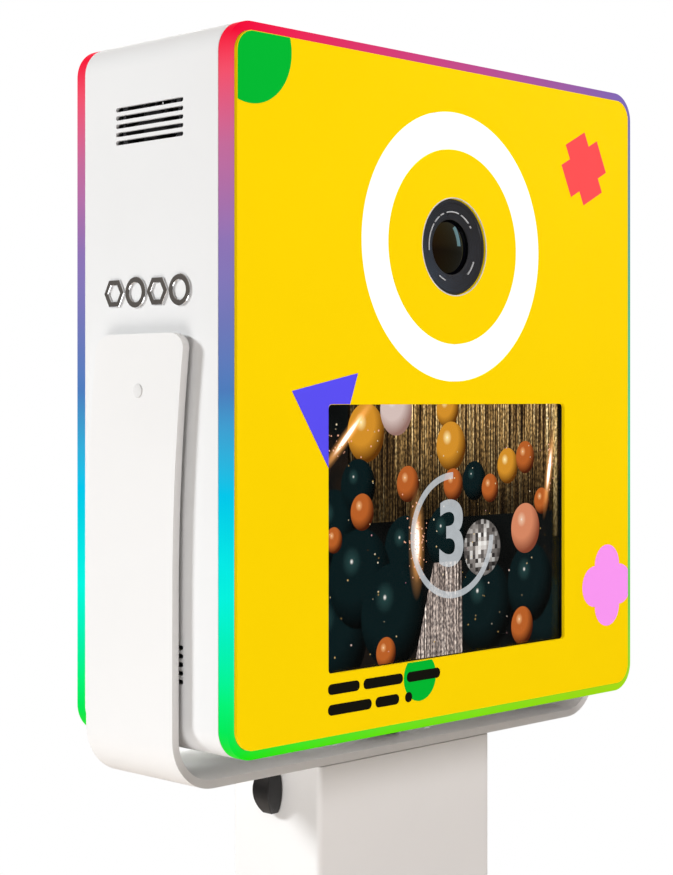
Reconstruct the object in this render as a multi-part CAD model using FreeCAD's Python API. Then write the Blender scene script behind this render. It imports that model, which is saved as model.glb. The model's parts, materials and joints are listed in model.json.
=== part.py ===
import FreeCAD, Part
import math
import os

# Free-standing photo booth: a camera head tilts in a U-shaped yoke, the yoke's spigot
# slides in a column, and the column stands on a base plate. Millimetres, +Z up, the
# front faces -Y, and the origin is on the floor under the centre of the column.

V = FreeCAD.Vector
X_AXIS = V(1, 0, 0)
Y_AXIS = V(0, 1, 0)
Z_AXIS = V(0, 0, 1)

# ---- Driving dimensions: base and column ------------------------------------------
BASE_W, BASE_D, BASE_T, BASE_R = 460, 360, 8, 20
FOOT_R, FOOT_H, FOOT_INSET = 16, 6, 34
COLUMN_W, COLUMN_D, COLUMN_WALL, COLUMN_R = 187.4, 91, 2, 4
COLUMN_LENGTH = 1119.8
RETURN_FLANGE = 16
COVER_T, COVER_GAP = 1.5, 0.4
SOLE_T = 10
TOP_PLATE_T, TOP_PLATE_PROUD = 4, 0.8
OUTLET_Z, OUTLET_R = 60, 12

# ---- Driving dimensions: yoke, its spigot and the clamp ---------------------------
YOKE_T, YOKE_R = 5.6, 36
SIDE_GAP, BOTTOM_GAP = 4, 19.8
ARM_TOP, ARM_TOP_R = 38, 15
ARM_SWEEP, SWEEP_START = 12, -140
SPIGOT_W, SPIGOT_D, SPIGOT_WALL, SPIGOT_LENGTH = 90, 45, 3, 280
SPIGOT_CLEARANCE, SPIGOT_HEAD_T, SPIGOT_HEAD_OVERHANG = 0.4, 6, 13
SOCKET_WALL, SOCKET_LENGTH, BRACE_T = 3, 240, 3
GROMMET_X, GROMMET_R, GROMMET_FLANGE, GROMMET_PROUD = 15, 12, 4.5, 3
CLAMP_DROP, STUD_R, STUD_CLEARANCE = 22, 4, 0.05
PAD_W, PAD_H, PAD_T = 24, 20, 6
NUT_R, NUT_LENGTH = 9, 12
KNOB_W, KNOB_H, KNOB_PROUD, KNOB_GAP, KNOB_END = 17, 34, 14, 0.6, 9

# ---- Driving dimensions: head ------------------------------------------------------
HEAD_W, HEAD_H, HEAD_D, HEAD_R = 440, 480, 157, 21
PIVOT_FORWARD = 10.3
SHELL_T, SHELL_FLANGE = 2.5, 20
RIM_W, RIM_D, DIFFUSER_T = 6.1, 9.2, 2
PANEL_T, PANEL_PROUD, PANEL_GAP = 3, 2.1, 0.3
FRAME_T, FRAME_RIM_T = 2, 2
FRAME_BOSS_R, FRAME_BOSS_INSET = 4.5, 14
LED_PITCH, LED_SIZE, LED_HEIGHT, STRIP_T = 30, 5, 1.6, 0.5
MAGNET_R, MAGNET_INSET = 5, 24
VENT_SLOTS, VENT_PITCH, VENT_LENGTH, VENT_H, VENT_Z = 5, 5.65, 70, 3, 180.5
EMBLEM_Z, EMBLEM_FIRST_Y, EMBLEM_PITCH, EMBLEM_R, EMBLEM_T = 66.5, 46, 22.7, 10.6, 1.5

# ---- Driving dimensions: pivots -----------------------------------------------------
PIVOT_R, PIVOT_CLEARANCE = 4, 0.06
BUSH_R, BUSH_FLANGE_R, WASHER_GAP = 6, 14, 0.4
BOSS_SIZE, BOSS_T = 60, 17.5
CAP_R, CAP_PROUD, CAP_DEPTH = 4.75, 0.8, 1.2
NUT_FLATS, PIVOT_NUT_T = 13, 6.5

# ---- Driving dimensions: ring light, lens and camera --------------------------------
LENS_Z, LENS_R, LENS_GAP = 104.7, 34.4, 0.5
RING_OUTER_R, RING_INNER_R, RING_GAP, RING_FACE_T = 97.5, 70.7, 0.2, 3.5
TRAY_D, TRAY_WALL, TRAY_FLANGE = 17, 2.5, 6.4
BOARD_T, RING_LEDS = 1.6, 24
INNER_BARREL_R, INNER_BARREL_BORE, LENS_TRAVEL = 25.9, 23.5, 12
LENS_RING_D, LENS_GLASS_R = 7, 20
FOCUS_START, FOCUS_D = 8.5, 8
GUIDE_R, LENS_CLEARANCE = 28.3, 0.3
ZOOM_START, ZOOM_D, BARREL_END = 30, 20, 78
CAMERA_W, CAMERA_H, CAMERA_D, CAMERA_R = 129, 78, 57, 9
CAMERA_OFFSET, AXIS_HEIGHT, PRISM_W, PRISM_H = 8, 40, 56, 20
SHELF_T, SHELF_DROP, SHELF_FRONT, SHELF_END_GAP = 3, 25, 62, 16
CAMERA_SCREW_R = 3.17

# ---- Driving dimensions: display and electronics ------------------------------------
SCREEN_W, SCREEN_H, SCREEN_TOP, SCREEN_R = 260, 182.1, -9.4, 3
SCREEN_LAP, GLASS_T, PANEL_LCD_T = 6, 1.8, 5
FRAME_WALL, FRAME_SLACK, EAR_W, EAR_H = 1.5, 0.5, 13, 22
COMPUTER = (150, 28, 110)
SUPPLY = (150, 90, 38)
CONTROLLER = (90, 60, 22)
FLOOR_GAP = 8
FAN_SIZE, FAN_T, FAN_BORE, FAN_HUB_R, FAN_BLADES = 60, 15, 28, 11, 7
FAN_CLEARANCE = 0.8

# ---- Driving dimensions: rear door and power inlet ----------------------------------
DOOR_W, DOOR_H, DOOR_T, DOOR_Z, DOOR_GAP = 350, 350, 2.5, 35, 1
RIB_INSET, RIB_T, RIB_D = 36, 2, 8
LEAF_T, LEAF_W, HINGE_H, HINGE_SPREAD = 2, 18, 60, 220
KNUCKLE_R, PIN_R, PIN_CLEARANCE, KNUCKLE_GAP = 4, 2, 0.06, 0.4
LOCK_INSET, LOCK_R, LOCK_CLEARANCE, CAM_LENGTH, CAM_T = 18, 9, 0.1, 27, 2
INLET_X, INLET_Z, SWITCH_X = -60, -185, -105
INLET_W, INLET_H, INLET_BODY_D, INLET_RECESS, PIN_RECESS = 27, 20, 22, 16, 6
ROCKER_W, ROCKER_H, ROCKER_D = 12, 18, 12

# ---- Levels and places that follow from the dimensions above ------------------------
BASE_TOP = FOOT_H + BASE_T
COLUMN_TOP = BASE_TOP + COLUMN_LENGTH
YOKE_BOTTOM = COLUMN_TOP + TOP_PLATE_PROUD
YOKE_FLOOR = YOKE_BOTTOM + YOKE_T
HEAD_Z = YOKE_FLOOR + BOTTOM_GAP + HEAD_H / 2
HEAD_FRONT_Y = -PIVOT_FORWARD - HEAD_D / 2
ARM_INNER_X = HEAD_W / 2 + SIDE_GAP
ARM_OUTER_X = ARM_INNER_X + YOKE_T
CLAMP_Z = YOKE_BOTTOM - CLAMP_DROP
SOCKET_W = SPIGOT_W + 2 * SPIGOT_CLEARANCE
SOCKET_D = SPIGOT_D + 2 * SPIGOT_CLEARANCE
SPIGOT_HEAD_BOTTOM = YOKE_BOTTOM - SPIGOT_HEAD_T
SOCKET_TOP = SPIGOT_HEAD_BOTTOM - SPIGOT_CLEARANCE
PANEL_INSET = RIM_W + PANEL_GAP
PANEL_BACK = PANEL_T - PANEL_PROUD
FRAME_BACK = PANEL_BACK + FRAME_T
GLASS_BACK = FRAME_BACK + GLASS_T
LCD_BACK = GLASS_BACK + PANEL_LCD_T
CRADLE_BACK = LCD_BACK + FRAME_WALL
PIVOT_Y = HEAD_D / 2
SCREEN_Z = SCREEN_TOP - SCREEN_H / 2
SHELF_REAR = HEAD_D - SHELF_END_GAP
SHELL_INNER_X = HEAD_W / 2 - SHELL_T
SHELL_FLOOR_Z = -HEAD_H / 2 + SHELL_T
FLANGE_BACK = RIM_D + SHELL_T
SHELF_Z = LENS_Z - AXIS_HEIGHT
DOOR_BACK = HEAD_D
DOOR_INNER = HEAD_D - DOOR_T
HINGE_X = DOOR_W / 2 + DOOR_GAP / 2
HINGE_Y = HEAD_D + LEAF_T + KNUCKLE_R


# ---- Shape helpers -------------------------------------------------------------------
def box(x0, x1, y0, y1, z0, z1):
    """Box between two corners."""
    return Part.makeBox(x1 - x0, y1 - y0, z1 - z0, V(x0, y0, z0))


def cylinder(radius, start, end):
    """Round bar from one centre point to another."""
    return Part.makeCylinder(radius, (end - start).Length, start, end - start)


def tube(outer, inner, start, end):
    """Round tube from one centre point to another."""
    return cylinder(outer, start, end).cut(cylinder(inner, start, end))


def rounded_face(half_u, half_v, radius):
    """Rounded rectangle about the origin, in the XY plane."""
    arcs = []
    for sign_u, sign_v, angle in ((1, 1, 0), (-1, 1, 90), (-1, -1, 180), (1, -1, 270)):
        centre = V(sign_u * (half_u - radius), sign_v * (half_v - radius), 0)
        arcs.append(Part.makeCircle(radius, centre, Z_AXIS, angle, angle + 90))
    edges = []
    for index, arc in enumerate(arcs):
        following = arcs[(index + 1) % len(arcs)]
        edges.append(arc)
        edges.append(Part.makeLine(arc.lastVertex().Point, following.firstVertex().Point))
    return Part.Face(Part.Wire(edges))


def extrude_y(face, y0, y1):
    """Solid from a face in the XY plane, stood up in XZ, between two depths."""
    solid = face.extrude(Z_AXIS * (y1 - y0))
    solid.translate(Z_AXIS * -y1)
    solid.rotate(V(0, 0, 0), X_AXIS, 90)
    return solid


def extrude_x(face, x0, x1):
    """Solid from a face in the XY plane, turned so that its X and Y lie on Y and Z."""
    solid = face.extrude(Z_AXIS * (x1 - x0))
    solid.translate(Z_AXIS * x0)
    solid.rotate(V(0, 0, 0), V(1, 1, 1), 120)
    return solid


def extrude_z(face, z0, z1):
    """Solid from a face in the XY plane between two heights."""
    solid = face.extrude(Z_AXIS * (z1 - z0))
    solid.translate(Z_AXIS * z0)
    return solid


def polygon_face(points):
    """Face in the XY plane from its corners."""
    corners = [V(u, v, 0) for u, v in points]
    return Part.Face(Part.makePolygon(corners + corners[:1]))


def placed(solid, position, direction):
    """Solid made about +Z, moved to a position and turned to a direction."""
    moved = solid.copy()
    moved.Placement = FreeCAD.Placement(position, FreeCAD.Rotation(Z_AXIS, direction))
    return moved


def button_screw(radius, length):
    """Screw about Z: head above zero, shank below."""
    head = Part.makeCylinder(1.9 * radius, 1.2 * radius)
    socket = Part.makeCylinder(0.6 * radius, 0.7 * radius, V(0, 0, 0.5 * radius))
    shank = Part.makeCylinder(radius, length, V(0, 0, -length))
    return head.cut(socket).fuse(shank)


def countersunk_screw(radius, length):
    """Screw about Z: flat head flush with zero, shank below."""
    cone = Part.makeCone(radius, 2 * radius, radius, V(0, 0, -radius))
    socket = Part.makeCylinder(0.7 * radius, 0.6 * radius, V(0, 0, -0.6 * radius))
    shank = Part.makeCylinder(radius, length, V(0, 0, -length))
    return cone.fuse(shank).cut(socket)


def countersunk_hole(radius, length):
    """Cutter about Z that a countersunk screw drops into."""
    cone = Part.makeCone(radius, 2 * radius, radius, V(0, 0, -radius))
    return cone.fuse(Part.makeCylinder(radius, length, V(0, 0, -length)))


def hexagon_prism(flats, start, end):
    """Hexagon bar from one centre point to another."""
    radius = flats / math.sqrt(3)
    corners = [(radius * math.cos(math.radians(60 * step)),
                radius * math.sin(math.radians(60 * step))) for step in range(6)]
    bar = extrude_z(polygon_face(corners), 0, (end - start).Length)
    return placed(bar, start, end - start)


def mirrored_pair(solid):
    """A solid and its copy on the other side of the YZ plane."""
    return Part.makeCompound([solid, solid.mirror(V(0, 0, 0), X_AXIS)])


def in_head(shape):
    """Move a shape from head coordinates to the frame.

    Head coordinates have X and Z from the centre of the head and Y back from the plane
    of its front rim."""
    shape.translate(V(0, HEAD_FRONT_Y, HEAD_Z))
    return shape


def head_outline(inset, y0, y1):
    """Prism of the head's rounded outline, set in by a distance, between two depths."""
    radius = max(HEAD_R - inset, 2)
    face = rounded_face(HEAD_W / 2 - inset, HEAD_H / 2 - inset, radius)
    return extrude_y(face, y0, y1)


# ---- Base and column -------------------------------------------------------------------
def base_bolt_places():
    """Centres of the four bolts that hold the column to the base plate."""
    half_x = COLUMN_W / 2 - 30
    half_y = COLUMN_D / 2 - 20
    return [V(x, y, FOOT_H) for x in (-half_x, half_x) for y in (-half_y, half_y)]


def base_plate():
    """Steel plate with countersunk holes from below."""
    plate = extrude_z(rounded_face(BASE_W / 2, BASE_D / 2, BASE_R), FOOT_H, BASE_TOP)
    for place in base_bolt_places():
        plate = plate.cut(placed(countersunk_hole(4.1, BASE_T + 1), place, -Z_AXIS))
    return plate


def rubber_feet():
    """Four pads under the corners of the base plate."""
    pads = []
    for sign_x in (-1, 1):
        for sign_y in (-1, 1):
            centre = V(sign_x * (BASE_W / 2 - FOOT_INSET), sign_y * (BASE_D / 2 - FOOT_INSET), 0)
            pads.append(Part.makeCone(FOOT_R - 2, FOOT_R, FOOT_H, centre))
    return Part.makeCompound(pads)


def base_bolts():
    """Four M8 countersunk bolts up through the base plate into the column's sole."""
    bolt = countersunk_screw(4, BASE_T + SOLE_T - 1)
    return Part.makeCompound([placed(bolt, place, -Z_AXIS) for place in base_bolt_places()])


def column_sole():
    """Thick plate inside the foot of the column, tapped for the base bolts."""
    half_x = COLUMN_W / 2 - COLUMN_WALL
    front = -COLUMN_D / 2 + COLUMN_WALL
    rear = COLUMN_D / 2 - COVER_T - COLUMN_WALL
    sole = box(-half_x, half_x, front, rear, BASE_TOP, BASE_TOP + SOLE_T)
    for place in base_bolt_places():
        sole = sole.cut(cylinder(4.02, place, place + Z_AXIS * (BASE_T + SOLE_T + 1)))
    return sole


def column_shell():
    """Folded steel column, open at the rear between two return flanges."""
    outer = extrude_z(rounded_face(COLUMN_W / 2, COLUMN_D / 2, COLUMN_R), BASE_TOP, COLUMN_TOP)
    half_x = COLUMN_W / 2 - COLUMN_WALL
    front = -COLUMN_D / 2 + COLUMN_WALL
    flange_front = COLUMN_D / 2 - COVER_T - COLUMN_WALL
    flange_rear = COLUMN_D / 2 - COVER_T
    inside = box(-half_x, half_x, front, flange_front, BASE_TOP, COLUMN_TOP)
    recess = box(-half_x, half_x, flange_rear, COLUMN_D, BASE_TOP, COLUMN_TOP)
    opening_x = half_x - RETURN_FLANGE
    opening = box(-opening_x, opening_x, 0, COLUMN_D, BASE_TOP, COLUMN_TOP)
    stud_hole = cylinder(STUD_R + 1, V(-COLUMN_W, 0, CLAMP_Z), V(0, 0, CLAMP_Z))
    return outer.cut(inside).cut(recess).cut(opening).cut(stud_hole)


def column_cover():
    """Rear cover, flush between the column's side walls, with a cable outlet."""
    half_x = COLUMN_W / 2 - COLUMN_WALL - COVER_GAP
    front = COLUMN_D / 2 - COVER_T
    cover = box(-half_x, half_x, front, COLUMN_D / 2, BASE_TOP, COLUMN_TOP)
    outlet = cylinder(OUTLET_R, V(0, 0, OUTLET_Z), V(0, COLUMN_D, OUTLET_Z))
    return cover.cut(outlet)


def rubber_grommet(hole_radius, wall, bore):
    """Grommet about Z that straddles a wall whose faces lie at zero and -wall."""
    flange_r = hole_radius + GROMMET_FLANGE
    body = Part.makeCylinder(hole_radius, wall + 2, V(0, 0, -wall - 1))
    top = Part.makeCone(flange_r, flange_r - 2, GROMMET_PROUD)
    below = Part.makeCylinder(hole_radius + 2, 2, V(0, 0, -wall - 2))
    hole = Part.makeCylinder(bore, 4 * wall + 20, V(0, 0, -2 * wall - 10))
    return body.fuse(top).fuse(below).cut(hole)


def outlet_grommet():
    """Grommet in the rear cover's cable outlet."""
    grommet = rubber_grommet(OUTLET_R, COVER_T, OUTLET_R - 4)
    return placed(grommet, V(0, COLUMN_D / 2, OUTLET_Z), Y_AXIS)


def column_top_plate():
    """Plate welded in the mouth of the column, open for the head of the spigot."""
    half_x = COLUMN_W / 2 - COLUMN_WALL
    front = -COLUMN_D / 2 + COLUMN_WALL
    rear = COLUMN_D / 2 - COVER_T - COLUMN_WALL
    bottom = YOKE_BOTTOM - TOP_PLATE_T
    plate = box(-half_x, half_x, front, rear, bottom, YOKE_BOTTOM)
    hole_x = SPIGOT_W / 2 + SPIGOT_HEAD_OVERHANG + 1
    hole_y = SPIGOT_D / 2 + SPIGOT_HEAD_OVERHANG + 1
    return plate.cut(box(-hole_x, hole_x, -hole_y, hole_y, bottom, YOKE_BOTTOM))


def column_socket():
    """Guide for the spigot: a box tube with a top collar and a brace at its foot."""
    outer_x = SOCKET_W / 2 + SOCKET_WALL
    outer_y = SOCKET_D / 2 + SOCKET_WALL
    foot = SOCKET_TOP - SOCKET_LENGTH
    half_x = COLUMN_W / 2 - COLUMN_WALL
    front = -COLUMN_D / 2 + COLUMN_WALL
    rear = COLUMN_D / 2 - COVER_T - COLUMN_WALL
    sleeve = box(-outer_x, outer_x, -outer_y, outer_y, foot, SOCKET_TOP)
    brace = box(-half_x, half_x, front, rear, foot, foot + BRACE_T)
    collar_top = YOKE_BOTTOM - TOP_PLATE_T
    collar_x = SPIGOT_W / 2 + SPIGOT_HEAD_OVERHANG + 1
    collar_y = SPIGOT_D / 2 + SPIGOT_HEAD_OVERHANG + 1
    collar = box(-half_x, half_x, front, rear, SOCKET_TOP - BRACE_T, collar_top)
    well = box(-collar_x, collar_x, -collar_y, collar_y, SOCKET_TOP, collar_top)
    bore = box(-SOCKET_W / 2, SOCKET_W / 2, -SOCKET_D / 2, SOCKET_D / 2, foot, collar_top)
    window_y = PAD_W / 2 + 1
    window_z = PAD_H / 2 + 1
    window = box(-outer_x - 1, 0, -window_y, window_y, CLAMP_Z - window_z, CLAMP_Z + window_z)
    return sleeve.fuse(brace).fuse(collar).cut(well).cut(bore).cut(window)


def clamp_nut():
    """Threaded boss inside the column's side wall, for the clamp stud."""
    wall_x = -COLUMN_W / 2 + COLUMN_WALL
    start = V(wall_x, 0, CLAMP_Z)
    return tube(NUT_R, STUD_R + STUD_CLEARANCE, start, start + X_AXIS * NUT_LENGTH)


# ---- Clamp -----------------------------------------------------------------------------
def clamp_pad():
    """Shoe that the stud presses against the side of the spigot."""
    face_x = -SPIGOT_W / 2 - 0.2
    half_y = PAD_W / 2
    half_z = PAD_H / 2
    shoe = box(face_x - PAD_T, face_x, -half_y, half_y, CLAMP_Z - half_z, CLAMP_Z + half_z)
    seat = cylinder(STUD_R + STUD_CLEARANCE, V(face_x - PAD_T, 0, CLAMP_Z),
                    V(face_x - PAD_T + 2, 0, CLAMP_Z))
    return shoe.cut(seat)


def knob_grip():
    """Two-lobed grip: a lens-shaped front view crossed with a bulging side view."""
    half_w = KNOB_W / 2
    half_h = KNOB_H / 2
    half_end = KNOB_END / 2
    sides = []
    for sign in (-1, 1):
        arc = Part.Arc(V(sign * half_end, -sign * half_h, 0), V(sign * half_w, 0, 0),
                       V(sign * half_end, sign * half_h, 0))
        sides.append(arc.toShape())
    top = Part.makeLine(V(half_end, half_h, 0), V(-half_end, half_h, 0))
    bottom = Part.makeLine(V(-half_end, -half_h, 0), V(half_end, -half_h, 0))
    front = Part.Face(Part.Wire([sides[1], top, sides[0], bottom]))
    near_x = -COLUMN_W / 2 - KNOB_GAP
    far_x = near_x - KNOB_PROUD
    lobes = extrude_x(front, far_x, near_x)
    bulge = Part.Arc(V(near_x - KNOB_PROUD / 2, -half_h, 0), V(far_x, 0, 0),
                     V(near_x - KNOB_PROUD / 2, half_h, 0)).toShape()
    back = Part.makePolygon([V(near_x - KNOB_PROUD / 2, half_h, 0), V(near_x, half_h, 0),
                             V(near_x, -half_h, 0), V(near_x - KNOB_PROUD / 2, -half_h, 0)])
    side = extrude_y(Part.Face(Part.Wire([bulge] + back.Edges)), -KNOB_W, KNOB_W)
    lobes.translate(Z_AXIS * CLAMP_Z)
    side.translate(Z_AXIS * CLAMP_Z)
    return lobes.common(side)


def clamp_knob():
    """Moulded grip on its threaded stud, in one piece."""
    tip_x = -SPIGOT_W / 2 - 0.2 - PAD_T + 1.8
    stud = cylinder(STUD_R, V(-COLUMN_W / 2 - KNOB_GAP - 1, 0, CLAMP_Z), V(tip_x, 0, CLAMP_Z))
    return knob_grip().fuse(stud)


# ---- Yoke --------------------------------------------------------------------------------
def cradle_solid(inset, top):
    """Solid inside the yoke's U outline, set in by a distance, up to a height."""
    half_x = ARM_OUTER_X - inset
    radius = max(YOKE_R - inset, 1)
    bottom = YOKE_BOTTOM + inset
    half_z = (top - bottom) / 2 + radius
    solid = extrude_y(rounded_face(half_x, half_z, radius), -COLUMN_D, COLUMN_D)
    solid.translate(Z_AXIS * (bottom + half_z))
    return solid.cut(box(-HEAD_W, HEAD_W, -2 * COLUMN_D, 2 * COLUMN_D, top, top + 4 * radius))


def arm_side_view():
    """Side view of the yoke: upright below, swept forward towards the arm tops."""
    start_z = HEAD_Z + SWEEP_START
    top_z = HEAD_Z + ARM_TOP
    rise = top_z - start_z
    radius = (rise ** 2 + ARM_SWEEP ** 2) / (2 * ARM_SWEEP)
    half_turn = math.asin(rise / radius) / 2
    middle = V(-radius * (1 - math.cos(half_turn)), radius * math.sin(half_turn), 0)
    half_d = COLUMN_D / 2
    edges = []
    for y in (-half_d, half_d):
        foot = V(y, YOKE_BOTTOM, 0)
        start = V(y, start_z, 0)
        tip = V(y - ARM_SWEEP, top_z, 0)
        edges.append(Part.makeLine(foot, start))
        edges.append(Part.Arc(start, start + middle, tip).toShape())
    edges.append(Part.makeLine(V(-half_d, YOKE_BOTTOM, 0), V(half_d, YOKE_BOTTOM, 0)))
    edges.append(Part.makeLine(V(-half_d - ARM_SWEEP, top_z, 0), V(half_d - ARM_SWEEP, top_z, 0)))
    face = Part.Face(Part.Wire(Part.__sortEdges__(edges)))
    solid = extrude_x(face, -HEAD_W, HEAD_W)
    top_corners = [edge for edge in solid.Edges
                   if edge.Length > HEAD_W and edge.CenterOfMass.z > top_z - 1]
    return solid.makeFillet(ARM_TOP_R, top_corners)


def yoke_bolt_places():
    """Centres of the four bolts between the yoke's floor and the head of the spigot."""
    half_x = SPIGOT_W / 2 + SPIGOT_HEAD_OVERHANG - 7
    return [V(x, y, YOKE_FLOOR) for x in (-half_x, half_x) for y in (-14, 14)]


def yoke():
    """U-shaped yoke bent from one steel strip."""
    top = HEAD_Z + ARM_TOP
    strip = cradle_solid(0, top).cut(cradle_solid(YOKE_T, top + 1)).common(arm_side_view())
    pivot_y = HEAD_FRONT_Y + PIVOT_Y
    bore = cylinder(PIVOT_R + PIVOT_CLEARANCE, V(-HEAD_W, pivot_y, HEAD_Z), V(HEAD_W, pivot_y, HEAD_Z))
    strip = strip.cut(bore)
    for sign in (-1, 1):
        outside = V(sign * (ARM_OUTER_X + 1), pivot_y, HEAD_Z)
        seat = V(sign * (ARM_OUTER_X - CAP_DEPTH), pivot_y, HEAD_Z)
        strip = strip.cut(cylinder(CAP_R + 0.05, seat, outside))
    for place in yoke_bolt_places():
        strip = strip.cut(placed(countersunk_hole(3.1, YOKE_T + 1), place, Z_AXIS))
    grommet_hole = cylinder(GROMMET_R, V(GROMMET_X, 0, YOKE_BOTTOM - 1), V(GROMMET_X, 0, YOKE_FLOOR + 1))
    return strip.cut(grommet_hole)


def yoke_spigot():
    """Box-section spigot with a welded head, bolted under the yoke."""
    foot = SPIGOT_HEAD_BOTTOM - SPIGOT_LENGTH
    half_x = SPIGOT_W / 2
    half_y = SPIGOT_D / 2
    inner_x = half_x - SPIGOT_WALL
    inner_y = half_y - SPIGOT_WALL
    head_x = half_x + SPIGOT_HEAD_OVERHANG
    head_y = half_y + SPIGOT_HEAD_OVERHANG
    head = box(-head_x, head_x, -head_y, head_y, SPIGOT_HEAD_BOTTOM, YOKE_BOTTOM)
    stem = box(-half_x, half_x, -half_y, half_y, foot, SPIGOT_HEAD_BOTTOM)
    bore = box(-inner_x, inner_x, -inner_y, inner_y, foot, YOKE_BOTTOM)
    spigot = head.fuse(stem).cut(bore)
    for place in yoke_bolt_places():
        spigot = spigot.cut(cylinder(3.02, place, place - Z_AXIS * (YOKE_T + SPIGOT_HEAD_T + 1)))
    return spigot


def yoke_bolts():
    """Four M6 countersunk bolts."""
    bolt = countersunk_screw(3, YOKE_T + SPIGOT_HEAD_T)
    return Part.makeCompound([placed(bolt, place, Z_AXIS) for place in yoke_bolt_places()])


def yoke_grommet():
    """Black grommet where the cables come up through the yoke's floor."""
    grommet = rubber_grommet(GROMMET_R, YOKE_T, GROMMET_R - 4)
    return placed(grommet, V(GROMMET_X, 0, YOKE_FLOOR), Z_AXIS)


def pivot_point(x):
    """Point on the tilt axis."""
    return V(x, HEAD_FRONT_Y + PIVOT_Y, HEAD_Z)


def pivot_inner_x():
    """X of the inner end of the pivot bushes."""
    return SHELL_INNER_X - BOSS_T - 2


def pivot_shafts():
    """Two pivot pins, fixed in the arms and turning in the head's bushes."""
    inner_x = pivot_inner_x() - PIVOT_NUT_T - 2.5
    pin = cylinder(PIVOT_R, pivot_point(inner_x), pivot_point(ARM_OUTER_X - CAP_DEPTH))
    return mirrored_pair(pin)


def pivot_nuts():
    """Locknuts on the inner ends of the pivot pins."""
    outer_x = pivot_inner_x() - WASHER_GAP
    nut = hexagon_prism(NUT_FLATS, pivot_point(outer_x - PIVOT_NUT_T), pivot_point(outer_x))
    bore = cylinder(PIVOT_R, pivot_point(0), pivot_point(HEAD_W))
    return mirrored_pair(nut.cut(bore))


def pivot_caps():
    """Round caps over the outer ends of the pivot pins."""
    cap = cylinder(CAP_R, pivot_point(ARM_OUTER_X - CAP_DEPTH), pivot_point(ARM_OUTER_X + CAP_PROUD))
    rim = [edge for edge in cap.Edges if edge.CenterOfMass.x > ARM_OUTER_X and edge.Closed]
    return mirrored_pair(cap.makeFillet(0.5, rim))


# ---- Head shell and lit rims ---------------------------------------------------------------
def vent_cutters():
    """Five rounded slots in each of four groups, high and low on both sides."""
    slot = rounded_face(VENT_LENGTH / 2, VENT_H / 2, VENT_H / 2 - 0.01)
    cutters = []
    for level in (-VENT_Z, VENT_Z):
        for index in range(VENT_SLOTS):
            offset = (index - (VENT_SLOTS - 1) / 2) * VENT_PITCH
            cutter = extrude_x(slot, -HEAD_W, HEAD_W)
            cutter.translate(V(0, HEAD_D / 2, level + offset))
            cutters.append(cutter)
    return cutters


def cable_hole():
    """Cutter for the cable hole in the floor of the head, above the yoke's grommet."""
    place = V(GROMMET_X, -HEAD_FRONT_Y, -HEAD_H / 2 - 1)
    return Part.makeCylinder(GROMMET_R, SHELL_T + 2, place)


def head_shell():
    """One-piece shell with an inward flange at the front and at the rear."""
    shell = head_outline(0, RIM_D, HEAD_D - RIM_D)
    shell = shell.cut(head_outline(SHELL_T, FLANGE_BACK, HEAD_D - FLANGE_BACK))
    shell = shell.cut(head_outline(SHELL_FLANGE, 0, HEAD_D))
    shell = shell.cut(Part.makeCompound(vent_cutters()))
    for place in frame_boss_places():
        shell = shell.cut(cylinder(2.2, place + Y_AXIS * RIM_D, place + Y_AXIS * (HEAD_D - RIM_D)))
    bush_bore = cylinder(BUSH_R, V(-HEAD_W, PIVOT_Y, 0), V(HEAD_W, PIVOT_Y, 0))
    return in_head(shell.cut(bush_bore).cut(cable_hole()))


def head_grommet():
    """Grommet in the floor of the head."""
    grommet = rubber_grommet(GROMMET_R, SHELL_T, GROMMET_R - 4)
    return in_head(placed(grommet, V(GROMMET_X, -HEAD_FRONT_Y, -HEAD_H / 2), -Z_AXIS))


def front_to_rear(shape):
    """Copy of a front piece, turned to the rear end of the head."""
    return shape.mirror(V(0, HEAD_D / 2, 0), Y_AXIS)


def rim_diffuser():
    """L-section ring of opal acrylic round the front edge, in head coordinates."""
    ring = head_outline(0, 0, RIM_D)
    ring = ring.cut(head_outline(DIFFUSER_T, DIFFUSER_T, RIM_D))
    return ring.cut(head_outline(RIM_W, 0, DIFFUSER_T))


def front_rim_diffuser():
    return in_head(rim_diffuser())


def rear_rim_diffuser():
    return in_head(front_to_rear(rim_diffuser()))


def led_places():
    """Positions and outward directions of the LEDs round the frame's rim."""
    half_x = HEAD_W / 2 - PANEL_INSET
    half_z = HEAD_H / 2 - PANEL_INSET
    places = []
    for sign in (-1, 1):
        for along_x, reach, face in ((True, half_x, half_z), (False, half_z, half_x)):
            count = int((reach - HEAD_R) // (LED_PITCH / 2))
            for index in range(count + 1):
                offset = (index - count / 2) * LED_PITCH
                if along_x:
                    places.append((V(offset, 0, sign * face), V(0, 0, sign)))
                else:
                    places.append((V(sign * face, 0, offset), V(sign, 0, 0)))
    return places


def rim_strip():
    """LED strip round the rim of a frame, in head coordinates."""
    front = RIM_D - LED_SIZE - 1
    strip = head_outline(PANEL_INSET - STRIP_T, front, RIM_D - 0.8)
    strip = strip.cut(head_outline(PANEL_INSET, front, RIM_D))
    chip = box(-LED_SIZE / 2, LED_SIZE / 2, -LED_SIZE / 2, LED_SIZE / 2, 0, STRIP_T + LED_HEIGHT)
    chips = []
    for place, outward in led_places():
        centre = place + V(0, front + LED_SIZE / 2, 0)
        chips.append(placed(chip, centre, outward))
    return strip.fuse(chips)


def rim_strips():
    """Front and rear LED strips."""
    strip = rim_strip()
    return in_head(Part.makeCompound([strip, front_to_rear(strip)]))


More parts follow.
